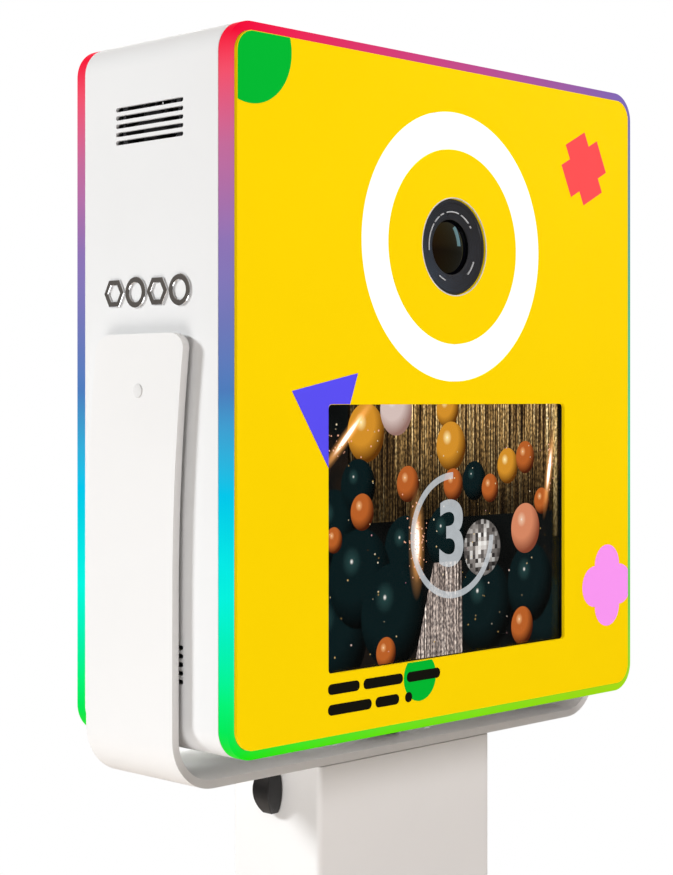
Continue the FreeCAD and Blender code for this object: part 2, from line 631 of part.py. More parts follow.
def frame_boss_places():
    """Centres of the bosses that take the frame screws, at zero depth."""
    half_x = HEAD_W / 2 - FRAME_BOSS_INSET
    half_z = HEAD_H / 2 - FRAME_BOSS_INSET
    corner = HEAD_R / 2
    places = []
    for sign in (-1, 1):
        places.append(V(sign * half_x, 0, half_z / 2))
        places.append(V(sign * half_x, 0, -half_z / 2))
        places.append(V(sign * (half_x - corner), 0, half_z))
        places.append(V(sign * (half_x - corner), 0, -half_z))
    return places


def frame_dish(face_depth):
    """Dished frame: a face plate with a rim that stands on the shell's flange."""
    back = face_depth + FRAME_T
    dish = head_outline(PANEL_INSET, face_depth, RIM_D)
    dish = dish.cut(head_outline(PANEL_INSET + FRAME_RIM_T, back, RIM_D))
    for place in frame_boss_places():
        boss = cylinder(FRAME_BOSS_R, place + Y_AXIS * (back - 0.5), place + Y_AXIS * RIM_D)
        bore = cylinder(2, place + Y_AXIS * (back + 1), place + Y_AXIS * RIM_D)
        dish = dish.fuse(boss).cut(bore)
    return dish


def frame_screws():
    """Sixteen M4 screws from inside the shell's flanges into the two frames."""
    screw = button_screw(2, FLANGE_BACK - FRAME_BACK - 2)
    front = [placed(screw, place + Y_AXIS * FLANGE_BACK, Y_AXIS) for place in frame_boss_places()]
    rear = [front_to_rear(item) for item in front]
    return in_head(Part.makeCompound(front + rear))


def magnet_places():
    """Centres of the magnets that hold the front panel, at zero depth."""
    half_x = HEAD_W / 2 - MAGNET_INSET
    half_z = HEAD_H / 2 - MAGNET_INSET
    return [V(x, 0, z) for x in (-half_x, half_x) for z in (-half_z, 0, half_z)]


def panel_magnets():
    """Six disc magnets set in the front frame."""
    start = Y_AXIS * PANEL_BACK
    end = Y_AXIS * (FRAME_BACK + 1)
    discs = [cylinder(MAGNET_R, place + start, place + end) for place in magnet_places()]
    return in_head(Part.makeCompound(discs))


def side_emblem():
    """Row of plain raised shapes on the left side: ring, hexagon, ring, hexagon."""
    surface_x = -HEAD_W / 2
    pieces = []
    for index in range(4):
        y = EMBLEM_FIRST_Y + index * EMBLEM_PITCH
        near = V(surface_x, y, EMBLEM_Z)
        far = V(surface_x - EMBLEM_T, y, EMBLEM_Z)
        if index % 2 == 0:
            pieces.append(tube(EMBLEM_R, EMBLEM_R * 0.62, far, near))
        else:
            frame = hexagon_prism(EMBLEM_R * 1.75, far, near)
            pieces.append(frame.cut(hexagon_prism(EMBLEM_R * 1.05, far, near)))
    return in_head(Part.makeCompound(pieces))


# ---- Front panel, ring light and display ----------------------------------------------------
def lens_axis(y):
    """Point on the lens axis, in head coordinates."""
    return V(0, y, LENS_Z)


def screen_cutter(margin, y0, y1):
    """Prism of the screen's outline, grown by a margin."""
    face = rounded_face(SCREEN_W / 2 + margin, SCREEN_H / 2 + margin, max(SCREEN_R, 1))
    solid = extrude_y(face, y0, y1)
    solid.translate(V(0, 0, SCREEN_Z))
    return solid


def front_panel():
    """Printed face panel with the screen window and the ring light's hole."""
    panel = head_outline(PANEL_INSET, -PANEL_PROUD, PANEL_BACK)
    panel = panel.cut(screen_cutter(0, -PANEL_PROUD, PANEL_BACK))
    hole = cylinder(RING_OUTER_R + RING_GAP, lens_axis(-PANEL_PROUD), lens_axis(PANEL_BACK))
    return in_head(panel.cut(hole))


def lens_plate():
    """Printed disc inside the ring light, with the lens hole."""
    radius = RING_INNER_R - RING_GAP
    return in_head(tube(radius, LENS_R + LENS_GAP, lens_axis(-PANEL_PROUD), lens_axis(PANEL_BACK)))


def front_frame():
    """Front frame with openings for the display, the ring light and the magnets."""
    frame = frame_dish(PANEL_BACK).cut(screen_cutter(2, PANEL_BACK, RIM_D))
    hole = cylinder(RING_OUTER_R + 2 * RING_GAP, lens_axis(0), lens_axis(RIM_D))
    frame = frame.cut(hole)
    for place in magnet_places():
        frame = frame.cut(cylinder(MAGNET_R, place, place + Y_AXIS * (FRAME_BACK + 1)))
    for screw_centre in small_screw_places():
        frame = frame.cut(cylinder(1.5, screw_centre, screw_centre + Y_AXIS * (FRAME_BACK + 1)))
    return in_head(frame)


def ring_face_back():
    """Depth of the back of the ring light's diffuser."""
    return RING_FACE_T - PANEL_PROUD


def ring_light_diffuser():
    """Flat opal ring in front of the LEDs."""
    front = lens_axis(-PANEL_PROUD)
    return in_head(tube(RING_OUTER_R, RING_INNER_R, front, lens_axis(ring_face_back())))


def ring_light_tray():
    """Round tray that carries the ring's board, its diffuser and the lens plate."""
    seat = ring_face_back()
    tray = cylinder(RING_OUTER_R, lens_axis(seat), lens_axis(TRAY_D))
    trough = tube(RING_OUTER_R - TRAY_WALL, RING_INNER_R + TRAY_WALL,
                  lens_axis(seat), lens_axis(TRAY_D - FRAME_T))
    flange = cylinder(RING_OUTER_R + TRAY_FLANGE, lens_axis(FRAME_BACK), lens_axis(FRAME_BACK + 2))
    lip = cylinder(RING_INNER_R - RING_GAP, lens_axis(PANEL_BACK), lens_axis(seat))
    well_r = RING_INNER_R - 2 * TRAY_WALL
    well = cylinder(well_r, lens_axis(PANEL_BACK), lens_axis(TRAY_D - FRAME_T))
    lens_hole = cylinder(LENS_R + 4, lens_axis(0), lens_axis(TRAY_D))
    tray = tray.fuse(flange).fuse(lip).cut(trough).cut(well).cut(lens_hole)
    for place in small_screw_places()[:6]:
        tray = tray.cut(cylinder(1.6, place, place + Y_AXIS * TRAY_D))
    return in_head(tray)


def ring_light_board():
    """Ring-shaped board with a circle of LEDs, lying in the tray."""
    back = TRAY_D - FRAME_T
    inner = RING_INNER_R + TRAY_WALL + 0.5
    outer = RING_OUTER_R - TRAY_WALL - 0.5
    board = tube(outer, inner, lens_axis(back - BOARD_T), lens_axis(back))
    radius = (inner + outer) / 2
    half = LED_SIZE / 2
    front = back - BOARD_T - LED_HEIGHT
    chips = []
    for index in range(RING_LEDS):
        chip = box(radius - half, radius + half, front, back - BOARD_T, LENS_Z - half, LENS_Z + half)
        chip.rotate(lens_axis(0), Y_AXIS, 360 * index / RING_LEDS)
        chips.append(chip)
    return in_head(board.fuse(chips))


def small_screw_places():
    """Centres of the M3 screws: six round the tray, then four in the display's ears."""
    radius = RING_OUTER_R + TRAY_FLANGE / 2
    places = []
    for index in range(6):
        angle = math.radians(60 * index)
        places.append(V(radius * math.cos(angle), 0, LENS_Z + radius * math.sin(angle)))
    ear_x = SCREEN_W / 2 + SCREEN_LAP + FRAME_SLACK + FRAME_WALL + EAR_W / 2
    for sign_x in (-1, 1):
        for sign_z in (-1, 1):
            places.append(V(sign_x * ear_x, 0, SCREEN_Z + sign_z * SCREEN_H / 3))
    return places


def small_screws():
    """Ten M3 screws into the front frame."""
    screw = button_screw(1.5, FRAME_T + 1.5)
    depths = [FRAME_BACK + 2] * 6 + [FRAME_BACK + FRAME_WALL] * 4
    screws = [placed(screw, place + Y_AXIS * depth, Y_AXIS)
              for place, depth in zip(small_screw_places(), depths)]
    return in_head(Part.makeCompound(screws))


def display_glass():
    """Touch glass behind the screen window."""
    return in_head(screen_cutter(SCREEN_LAP, FRAME_BACK, GLASS_BACK))


def display_panel():
    """Liquid crystal panel, as large as its glass less a small margin."""
    return in_head(screen_cutter(SCREEN_LAP - 1, GLASS_BACK, LCD_BACK))


def display_cradle():
    """Sheet metal tray that holds the glass and the panel against the front frame."""
    half_x = SCREEN_W / 2 + SCREEN_LAP + FRAME_SLACK
    outer = screen_cutter(SCREEN_LAP + FRAME_SLACK + FRAME_WALL, FRAME_BACK, CRADLE_BACK)
    cradle = outer.cut(screen_cutter(SCREEN_LAP + FRAME_SLACK, FRAME_BACK, LCD_BACK))
    for place in small_screw_places()[6:]:
        side = math.copysign(1, place.x)
        inner_x = side * (half_x + FRAME_WALL / 2)
        outer_x = side * (half_x + FRAME_WALL + EAR_W)
        ear = box(min(inner_x, outer_x), max(inner_x, outer_x), FRAME_BACK, FRAME_BACK + FRAME_WALL,
                  place.z - EAR_H / 2, place.z + EAR_H / 2)
        cradle = cradle.fuse(ear)
    for place in small_screw_places()[6:]:
        cradle = cradle.cut(cylinder(1.6, place, place + Y_AXIS * RIM_D))
    return in_head(cradle)


def computer():
    """Small computer on the back of the display's tray, with a finned back."""
    width, depth, height = COMPUTER
    back = CRADLE_BACK + depth
    case = box(-width / 2, width / 2, CRADLE_BACK, back, SCREEN_Z - height / 2, SCREEN_Z + height / 2)
    fin_pitch = 12
    for index in range(int(width // fin_pitch) - 1):
        x = (index + 1) * fin_pitch - width / 2
        case = case.cut(box(x, x + fin_pitch / 2, back - 6, back, SCREEN_Z - height / 2 + 8,
                            SCREEN_Z + height / 2 - 8))
    return in_head(case)


def floor_unit(size, centre_x, centre_y):
    """Electronics case on the floor of the head, with a screw flange along its foot."""
    width, depth, height = size
    foot = SHELL_FLOOR_Z
    case = box(centre_x - width / 2, centre_x + width / 2, centre_y - depth / 2,
               centre_y + depth / 2, foot, foot + height)
    flange = box(centre_x - width / 2 - FLOOR_GAP, centre_x + width / 2 + FLOOR_GAP,
                 centre_y - depth / 3, centre_y + depth / 3, foot, foot + 2)
    return in_head(case.fuse(flange))


def power_supply():
    """Power supply on the floor, towards the right side."""
    return floor_unit(SUPPLY, HEAD_W / 2 - SUPPLY[0] / 2 - 28, HEAD_D / 2 + 7)


def led_controller():
    """Controller of the lit rims, on the floor towards the left side."""
    return floor_unit(CONTROLLER, -HEAD_W / 2 + CONTROLLER[0] / 2 + 35, HEAD_D / 2)


# ---- Camera and lens --------------------------------------------------------------------------
def equipment_shelf():
    """Shelf across the head, with flanges folded down along the shell's sides."""
    half_x = SHELL_INNER_X
    shelf = box(-half_x, half_x, SHELF_FRONT, SHELF_REAR, SHELF_Z - SHELF_T, SHELF_Z)
    for sign in (-1, 1):
        inner = sign * (half_x - SHELF_T)
        outer = sign * half_x
        flange = box(min(inner, outer), max(inner, outer), SHELF_FRONT, SHELF_REAR,
                     SHELF_Z - SHELF_DROP, SHELF_Z)
        shelf = shelf.fuse(flange)
    return in_head(shelf.cut(camera_screw_hole()))


def camera_screw_axis(z):
    """Point on the axis of the camera's tripod screw, in head coordinates."""
    return V(0, BARREL_END + CAMERA_D / 2, z)


def camera_screw_hole():
    """Cutter for the tripod screw in the shelf and in the camera's base."""
    radius = CAMERA_SCREW_R + 0.05
    return cylinder(radius, camera_screw_axis(SHELF_Z - SHELF_T), camera_screw_axis(SHELF_Z + 8))


def camera_screw():
    """Quarter-inch screw from below the shelf."""
    screw = button_screw(CAMERA_SCREW_R, SHELF_T + 7)
    return in_head(placed(screw, camera_screw_axis(SHELF_Z - SHELF_T), -Z_AXIS))


def camera_body():
    """Single-lens reflex body with its grip, prism hump and lens flange."""
    left = -CAMERA_W / 2 - CAMERA_OFFSET
    front = BARREL_END
    face = rounded_face(CAMERA_W / 2, CAMERA_H / 2, CAMERA_R)
    body = extrude_y(face, front, front + CAMERA_D)
    body.translate(V(-CAMERA_OFFSET, 0, SHELF_Z + CAMERA_H / 2))
    half_grip = (-left - LENS_R) / 2
    grip = extrude_z(rounded_face(half_grip, 13, 8), SHELF_Z + 1, SHELF_Z + CAMERA_H - 6)
    grip.translate(V(left + half_grip, front + 1, 0))
    top = SHELF_Z + CAMERA_H
    hump = polygon_face([(-PRISM_W / 2, top - 4), (PRISM_W / 2, top - 4),
                         (PRISM_W / 3, top + PRISM_H), (-PRISM_W / 3, top + PRISM_H)])
    body = body.fuse(grip).fuse(extrude_y(hump, front + 2, front + CAMERA_D - 8))
    dial = Part.makeCylinder(11, 7, V(CAMERA_W / 3 - CAMERA_OFFSET, front + CAMERA_D / 2, top - 1))
    return in_head(body.fuse(dial).cut(camera_screw_hole()))


def lens_barrel():
    """Fixed barrel: the mount at the rear and the guide sleeve for the moving barrel."""
    guide_front = ZOOM_START - 4
    rear = ZOOM_START + ZOOM_D + LENS_CLEARANCE
    guide_bore = INNER_BARREL_R + LENS_CLEARANCE
    sleeve = cylinder(GUIDE_R - LENS_CLEARANCE, lens_axis(guide_front), lens_axis(BARREL_END))
    grip = cylinder(LENS_R - 1.4, lens_axis(rear), lens_axis(BARREL_END - 5))
    mount = cylinder(LENS_R - 3, lens_axis(BARREL_END - 5), lens_axis(BARREL_END))
    bore = cylinder(guide_bore, lens_axis(guide_front), lens_axis(BARREL_END - 6))
    light = cylinder(LENS_GLASS_R - 4, lens_axis(guide_front), lens_axis(BARREL_END))
    return in_head(sleeve.fuse(grip).fuse(mount).cut(bore).cut(light))


def grip_ring(outer, inner, start, length, ribs):
    """Ribbed rubber ring about the lens axis."""
    ring = tube(outer, inner, lens_axis(start), lens_axis(start + length))
    for index in range(ribs):
        groove = box(outer - 0.7, outer + 1, start + 1.5, start + length - 1.5,
                     LENS_Z - 0.9, LENS_Z + 0.9)
        groove.rotate(lens_axis(0), Y_AXIS, 360 * index / ribs)
        ring = ring.cut(groove)
    return in_head(ring)


def zoom_ring():
    """Broad ring that turns on the guide sleeve."""
    return grip_ring(LENS_R - 0.4, GUIDE_R, ZOOM_START, ZOOM_D, 36)


def focus_ring():
    """Narrow ring that turns on the moving barrel."""
    return grip_ring(LENS_R - 0.4, INNER_BARREL_R + LENS_CLEARANCE, FOCUS_START, FOCUS_D, 36)


def lens_inner_barrel():
    """Moving barrel with its front ring, which narrows in steps to the glass."""
    front = -1
    ring_back = LENS_RING_D
    rear = ZOOM_START + ZOOM_D + LENS_TRAVEL
    ring = cylinder(LENS_R, lens_axis(front), lens_axis(ring_back))
    barrel = cylinder(INNER_BARREL_R, lens_axis(ring_back), lens_axis(rear))
    mouth = Part.makeCone(LENS_R - 3, LENS_GLASS_R, ring_back - front - 2, lens_axis(front), Y_AXIS)
    bore = cylinder(INNER_BARREL_BORE, lens_axis(ring_back - 2), lens_axis(rear))
    return in_head(ring.fuse(barrel).cut(mouth).cut(bore))


def front_element():
    """Domed front glass, seated behind the front ring."""
    seat = LENS_RING_D - 2
    glass = cylinder(INNER_BARREL_BORE, lens_axis(seat), lens_axis(seat + 6))
    ball_r = 60
    ball = Part.makeSphere(ball_r, lens_axis(seat + ball_r - 0.5))
    return in_head(glass.common(ball))


# ---- Pivot bearings and fan --------------------------------------------------------------------
def pivot_bosses():
    """Square aluminium blocks bonded inside the shell's sides."""
    half = BOSS_SIZE / 2
    block = box(SHELL_INNER_X - BOSS_T, SHELL_INNER_X, PIVOT_Y - half, PIVOT_Y + half, -half, half)
    bore = cylinder(BUSH_R, V(0, PIVOT_Y, 0), V(HEAD_W, PIVOT_Y, 0))
    return in_head(mirrored_pair(block.cut(bore)))


def pivot_bushes():
    """Flanged bushes; the flange takes the thrust between the shell and the arm."""
    inner = V(pivot_inner_x(), PIVOT_Y, 0)
    outer = V(HEAD_W / 2, PIVOT_Y, 0)
    flange_end = V(ARM_INNER_X - WASHER_GAP, PIVOT_Y, 0)
    sleeve = cylinder(BUSH_R, inner, outer).fuse(cylinder(BUSH_FLANGE_R, outer, flange_end))
    bore = cylinder(PIVOT_R + PIVOT_CLEARANCE, inner, flange_end)
    return in_head(mirrored_pair(sleeve.cut(bore)))


def fan_centre(x):
    """Point on the fan's axis, in head coordinates."""
    return V(x, HEAD_D / 2, VENT_Z)


def fan_frame():
    """Square fan frame behind the upper left vents, with three struts and a motor seat."""
    wall = -SHELL_INNER_X
    half = FAN_SIZE / 2
    frame = box(wall, wall + FAN_T, HEAD_D / 2 - half, HEAD_D / 2 + half, VENT_Z - half, VENT_Z + half)
    frame = frame.cut(cylinder(FAN_BORE, fan_centre(wall), fan_centre(wall + FAN_T)))
    seat_start = wall + FAN_T - 3
    frame = frame.fuse(cylinder(FAN_HUB_R, fan_centre(seat_start), fan_centre(wall + FAN_T)))
    frame = frame.fuse(cylinder(2, fan_centre(wall + 4), fan_centre(wall + FAN_T)))
    for index in range(3):
        strut = box(seat_start, wall + FAN_T, HEAD_D / 2 - 2, HEAD_D / 2 + 2, VENT_Z, VENT_Z + FAN_BORE + 1)
        strut.rotate(fan_centre(0), X_AXIS, 120 * index)
        frame = frame.fuse(strut)
    return in_head(frame)


def fan_rotor():
    """Hub and pitched blades that turn on the frame's spindle."""
    wall = -SHELL_INNER_X
    start = wall + 1.5
    end = wall + FAN_T - 3 - FAN_CLEARANCE
    middle = (start + end) / 2
    swept = tube(FAN_BORE - FAN_CLEARANCE, FAN_HUB_R - 1, fan_centre(start), fan_centre(end))
    rotor = cylinder(FAN_HUB_R, fan_centre(start), fan_centre(end))
    for index in range(FAN_BLADES):
        blade = box(-9, 9, -0.8, 0.8, 0, FAN_BORE)
        blade.rotate(V(0, 0, 0), Z_AXIS, 35)
        blade.translate(fan_centre(middle))
        blade.rotate(fan_centre(0), X_AXIS, 360 * index / FAN_BLADES)
        rotor = rotor.fuse(blade.common(swept))
    return in_head(rotor.cut(cylinder(2.06, fan_centre(start + 2), fan_centre(end))))


# ---- Rear frame, door and inlet -------------------------------------------------------------------
def rear_frame():
    """Rear frame with the door opening and the hole for the inlet and its switch."""
    frame = front_to_rear(frame_dish(0))
    opening = box(-DOOR_W / 2 - DOOR_GAP, DOOR_W / 2 + DOOR_GAP, HEAD_D - RIM_D, HEAD_D,
                  DOOR_Z - DOOR_H / 2 - DOOR_GAP, DOOR_Z + DOOR_H / 2 + DOOR_GAP)
    for x, width, height in ((INLET_X, INLET_W, INLET_H), (SWITCH_X, ROCKER_W + 3, ROCKER_H + 3)):
        frame = frame.cut(box(x - width / 2, x + width / 2, HEAD_D - RIM_D, HEAD_D,
                              INLET_Z - height / 2, INLET_Z + height / 2))
    return in_head(frame.cut(opening))


def lock_axis(y):
    """Point on the lock's axis, in head coordinates."""
    return V(-DOOR_W / 2 + LOCK_INSET, y, DOOR_Z)


def rear_door():
    """Flat door with a stiffening rib, vent slots and a hole for the lock."""
    half_x = DOOR_W / 2
    half_z = DOOR_H / 2
    door = box(-half_x, half_x, DOOR_INNER, DOOR_BACK, DOOR_Z - half_z, DOOR_Z + half_z)
    rib_x = half_x - RIB_INSET
    rib_z = half_z - RIB_INSET
    rib = box(-rib_x, rib_x, DOOR_INNER - RIB_D, DOOR_INNER, DOOR_Z - rib_z, DOOR_Z + rib_z)
    hollow = box(-rib_x + RIB_T, rib_x - RIB_T, DOOR_INNER - RIB_D, DOOR_INNER,
                 DOOR_Z - rib_z + RIB_T, DOOR_Z + rib_z - RIB_T)
    door = door.fuse(rib.cut(hollow))
    for index in range(6):
        z = DOOR_Z + rib_z - 20 - 10 * index
        door = door.cut(box(-45, 45, DOOR_INNER - 1, DOOR_BACK, z - 2, z + 2))
    lock_hole = cylinder(LOCK_R + LOCK_CLEARANCE, lock_axis(DOOR_INNER), lock_axis(DOOR_BACK))
    return in_head(door.cut(lock_hole))


def door_lock():
    """Turning key barrel with its cam, unlocked: a quarter turn takes it behind the frame."""
    cam_back = HEAD_D - FRAME_T - 0.5
    face = lock_axis(DOOR_BACK + 3)
    barrel = cylinder(LOCK_R, lock_axis(cam_back - CAM_T), lock_axis(DOOR_BACK + 0.3))
    collar = cylinder(LOCK_R + 2.5, lock_axis(DOOR_BACK + 0.3), face)
    centre = lock_axis(0)
    slot = box(centre.x - 1, centre.x + 1, DOOR_BACK + 1, DOOR_BACK + 4, centre.z - 5, centre.z + 5)
    cam = box(centre.x - 7, centre.x + 7, cam_back - CAM_T, cam_back, centre.z, centre.z + CAM_LENGTH)
    return in_head(barrel.fuse(collar).fuse(cam).cut(slot))


def knuckle(centre_z, length):
    """Length of hinge knuckle about the door's hinge axis."""
    return tube(KNUCKLE_R, PIN_R + PIN_CLEARANCE, V(HINGE_X, HINGE_Y, centre_z - length / 2),
                V(HINGE_X, HINGE_Y, centre_z + length / 2))


def hinge_levels():
    """Heights of the two hinges."""
    return (DOOR_Z - HINGE_SPREAD / 2, DOOR_Z + HINGE_SPREAD / 2)


def leaf(side, centre_z, knuckles):
    """Hinge leaf on one side of the axis, joined to its knuckles by a rising web."""
    third = HINGE_H / 3
    inner = HINGE_X + side * 1.5
    outer = HINGE_X + side * LEAF_W
    plate = box(min(inner, outer), max(inner, outer), HEAD_D, HEAD_D + LEAF_T,
                centre_z - HINGE_H / 2, centre_z + HINGE_H / 2)
    edge_near = HINGE_X + side * (KNUCKLE_R + 1)
    edge_far = HINGE_X + side * (KNUCKLE_R - 2)
    for offset in knuckles:
        z = centre_z + offset * third
        length = third - KNUCKLE_GAP
        roll = knuckle(z, length)
        web = box(min(edge_near, edge_far), max(edge_near, edge_far), HEAD_D, HINGE_Y,
                  z - length / 2, z + length / 2)
        plate = plate.fuse(web.cut(cylinder(KNUCKLE_R - 1, V(HINGE_X, HINGE_Y, z - third),
                                            V(HINGE_X, HINGE_Y, z + third)))).fuse(roll)
    return plate


def frame_leaves():
    """Fixed leaves of the two hinges, with two knuckles each."""
    return in_head(Part.makeCompound([leaf(1, z, (-1, 1)) for z in hinge_levels()]))


def door_leaves():
    """Moving leaves of the two hinges, with one knuckle each."""
    return in_head(Part.makeCompound([leaf(-1, z, (0,)) for z in hinge_levels()]))


def hinge_pins():
    """Pins of the two hinges, with a head at the top."""
    pins = []
    for z in hinge_levels():
        half = HINGE_H / 2
        pin = cylinder(PIN_R, V(HINGE_X, HINGE_Y, z - half), V(HINGE_X, HINGE_Y, z + half))
        top = cylinder(KNUCKLE_R - 1, V(HINGE_X, HINGE_Y, z + half), V(HINGE_X, HINGE_Y, z + half + 1.5))
        pins.append(pin.fuse(top))
    return in_head(Part.makeCompound(pins))


def power_inlet():
    """Appliance inlet with three pins, and the bezel of the switch beside it."""
    front = HEAD_D - INLET_BODY_D
    flange_end = HEAD_D + 2
    half_w = INLET_W / 2
    half_h = INLET_H / 2
    body = box(INLET_X - half_w, INLET_X + half_w, front, HEAD_D, INLET_Z - half_h, INLET_Z + half_h)
    flange = box(INLET_X - half_w - 10, INLET_X + half_w + 10, HEAD_D, flange_end,
                 INLET_Z - half_h - 2, INLET_Z + half_h + 2)
    recess = box(INLET_X - half_w + 1.5, INLET_X + half_w - 1.5, flange_end - INLET_RECESS,
                 flange_end, INLET_Z - half_h + 1.5, INLET_Z + half_h - 1.5)
    inlet = body.fuse(flange).cut(recess)
    for x, z in ((-7, -2), (0, 2), (7, -2)):
        inlet = inlet.fuse(box(INLET_X + x - 1, INLET_X + x + 1, flange_end - INLET_RECESS - 1,
                               flange_end - PIN_RECESS, INLET_Z + z - 2, INLET_Z + z + 2))
    half_sw = ROCKER_W / 2 + 1.5
    half_sh = ROCKER_H / 2 + 1.5
    bezel = box(SWITCH_X - half_sw - 2, SWITCH_X + half_sw + 2, HEAD_D, flange_end,
                INLET_Z - half_sh - 2, INLET_Z + half_sh + 2)
    case = box(SWITCH_X - half_sw, SWITCH_X + half_sw, front, HEAD_D,
               INLET_Z - half_sh, INLET_Z + half_sh)
    cavity = box(SWITCH_X - ROCKER_W / 2 - 0.4, SWITCH_X + ROCKER_W / 2 + 0.4, HEAD_D - ROCKER_D,
                 flange_end, INLET_Z - half_sh + 0.6, INLET_Z + half_sh - 0.6)
    return in_head(Part.makeCompound([inlet, bezel.fuse(case).cut(cavity)]))


def switch_rocker():
    """Rocker of the mains switch: a shallow V on two trunnions."""
    axis_y = HEAD_D - 1
    half = ROCKER_H / 2
    profile = polygon_face([(axis_y - 6, -3), (axis_y - 6, 3), (axis_y + 0.5, half),
                            (axis_y + 4.5, half), (axis_y + 2.5, 0), (axis_y + 4.5, -half),
                            (axis_y + 0.5, -half)])
    rocker = extrude_x(profile, SWITCH_X - ROCKER_W / 2, SWITCH_X + ROCKER_W / 2)
    reach = ROCKER_W / 2 + 0.3
    trunnions = cylinder(1.5, V(SWITCH_X - reach, axis_y, 0), V(SWITCH_X + reach, axis_y, 0))
    rocker = rocker.fuse(trunnions)
    rocker.translate(Z_AXIS * INLET_Z)
    return in_head(rocker)


PIECES = (
    base_plate, rubber_feet, base_bolts, column_sole, column_shell, column_cover, outlet_grommet,
    column_top_plate, column_socket, clamp_nut, clamp_pad, clamp_knob, yoke, yoke_spigot,
    yoke_bolts, yoke_grommet, pivot_shafts, pivot_nuts, pivot_caps, head_shell, head_grommet,
    front_rim_diffuser, rear_rim_diffuser, rim_strips, front_frame, rear_frame, frame_screws,
    front_panel, panel_magnets, side_emblem, lens_plate, ring_light_diffuser, ring_light_tray,
    ring_light_board, small_screws, display_glass, display_panel, display_cradle, computer,
    power_supply, led_controller, equipment_shelf, camera_screw, camera_body, lens_barrel,
    zoom_ring, focus_ring, lens_inner_barrel, front_element, pivot_bosses, pivot_bushes,
    fan_frame, fan_rotor, rear_door, door_lock, frame_leaves, door_leaves, hinge_pins,
    power_inlet, switch_rocker,
)

os.makedirs("parts", exist_ok=True)
for piece in PIECES:
    shape = piece()
    volume = sum(solid.Volume for solid in shape.Solids)
    print(f"{piece.__name__}: {len(shape.Solids)} solids, {volume / 1000:.1f} cm3, valid {shape.isValid()}")
    shape.exportStep(f"parts/{piece.__name__}.step")
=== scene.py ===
"""Photo booth: finishes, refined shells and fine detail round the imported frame."""
import json
import logging
import math
import random
from dataclasses import dataclass, field
from enum import Enum
from typing import Callable, Iterable, Optional, Sequence, Union

import bmesh
import bpy
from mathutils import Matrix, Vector

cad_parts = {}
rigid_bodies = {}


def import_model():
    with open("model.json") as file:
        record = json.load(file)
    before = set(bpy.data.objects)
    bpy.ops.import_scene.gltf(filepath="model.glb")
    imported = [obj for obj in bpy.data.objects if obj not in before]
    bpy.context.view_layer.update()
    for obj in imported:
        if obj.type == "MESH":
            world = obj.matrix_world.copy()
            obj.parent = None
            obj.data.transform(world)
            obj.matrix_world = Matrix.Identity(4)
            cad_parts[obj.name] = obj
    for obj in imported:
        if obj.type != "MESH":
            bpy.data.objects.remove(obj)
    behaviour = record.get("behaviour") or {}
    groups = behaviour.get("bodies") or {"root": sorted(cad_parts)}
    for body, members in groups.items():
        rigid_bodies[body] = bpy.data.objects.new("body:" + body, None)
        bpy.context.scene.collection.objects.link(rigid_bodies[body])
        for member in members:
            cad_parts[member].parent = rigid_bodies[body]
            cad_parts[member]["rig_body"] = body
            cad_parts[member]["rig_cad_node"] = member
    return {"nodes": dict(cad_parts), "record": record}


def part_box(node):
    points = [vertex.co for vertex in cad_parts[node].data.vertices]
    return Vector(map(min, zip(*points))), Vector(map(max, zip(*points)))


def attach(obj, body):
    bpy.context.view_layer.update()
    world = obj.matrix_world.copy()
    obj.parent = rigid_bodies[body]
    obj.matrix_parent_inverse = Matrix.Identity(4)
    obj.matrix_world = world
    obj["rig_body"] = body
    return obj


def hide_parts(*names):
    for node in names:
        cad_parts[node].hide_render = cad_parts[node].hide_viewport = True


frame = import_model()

LOG = logging.getLogger("photo_booth")
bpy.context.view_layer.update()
MM = 0.001
MERGE = 1e-6

Point = tuple[float, float, float]
Colour = tuple[float, float, float, float]
Profile = Sequence[tuple[float, float]]
Test = Callable[[Vector, Vector], bool]
Socket = bpy.types.NodeSocket
Level = Union[float, Socket]


class Axis(Enum):
    """Direction that a turned or round piece is made about."""

    X = (0.0, math.pi / 2, 0.0)
    Y = (math.pi / 2, 0.0, 0.0)
    Z = (0.0, 0.0, 0.0)

    @property
    def index(self) -> int:
        """Number of the axis."""
        return "XYZ".index(self.name)

    @property
    def along(self) -> Vector:
        """Unit vector of the axis."""
        return Vector([float(number == self.index) for number in range(3)])


class Body(Enum):
    """Bodies of the frame that pieces ride on."""

    STAND = "stand"
    CLAMP = "clamp_grip"
    YOKE = "yoke_body"
    HEAD = "head"
    DOOR = "door"
    LOCK = "lock"
    LENS = "moving_lens"


def linear(code: str) -> Colour:
    """Turn a display colour into the linear colour that shaders use.

    Args:
        code: Six hexadecimal digits, red first.

    Returns:
        Linear red, green, blue and an alpha of one.
    """
    parts = [int(code[index:index + 2], 16) / 255 for index in (0, 2, 4)]
    red, green, blue = (part / 12.92 if part <= 0.04045 else ((part + 0.055) / 1.055) ** 2.4
                        for part in parts)
    return red, green, blue, 1.0


def graded(stops: Sequence[tuple[float, str]]) -> list[tuple[float, Colour]]:
    """Stops of a ramp with their display colours made linear."""
    return [(place, linear(code)) for place, code in stops]


# ---- Finishes ------------------------------------------------------------------------------


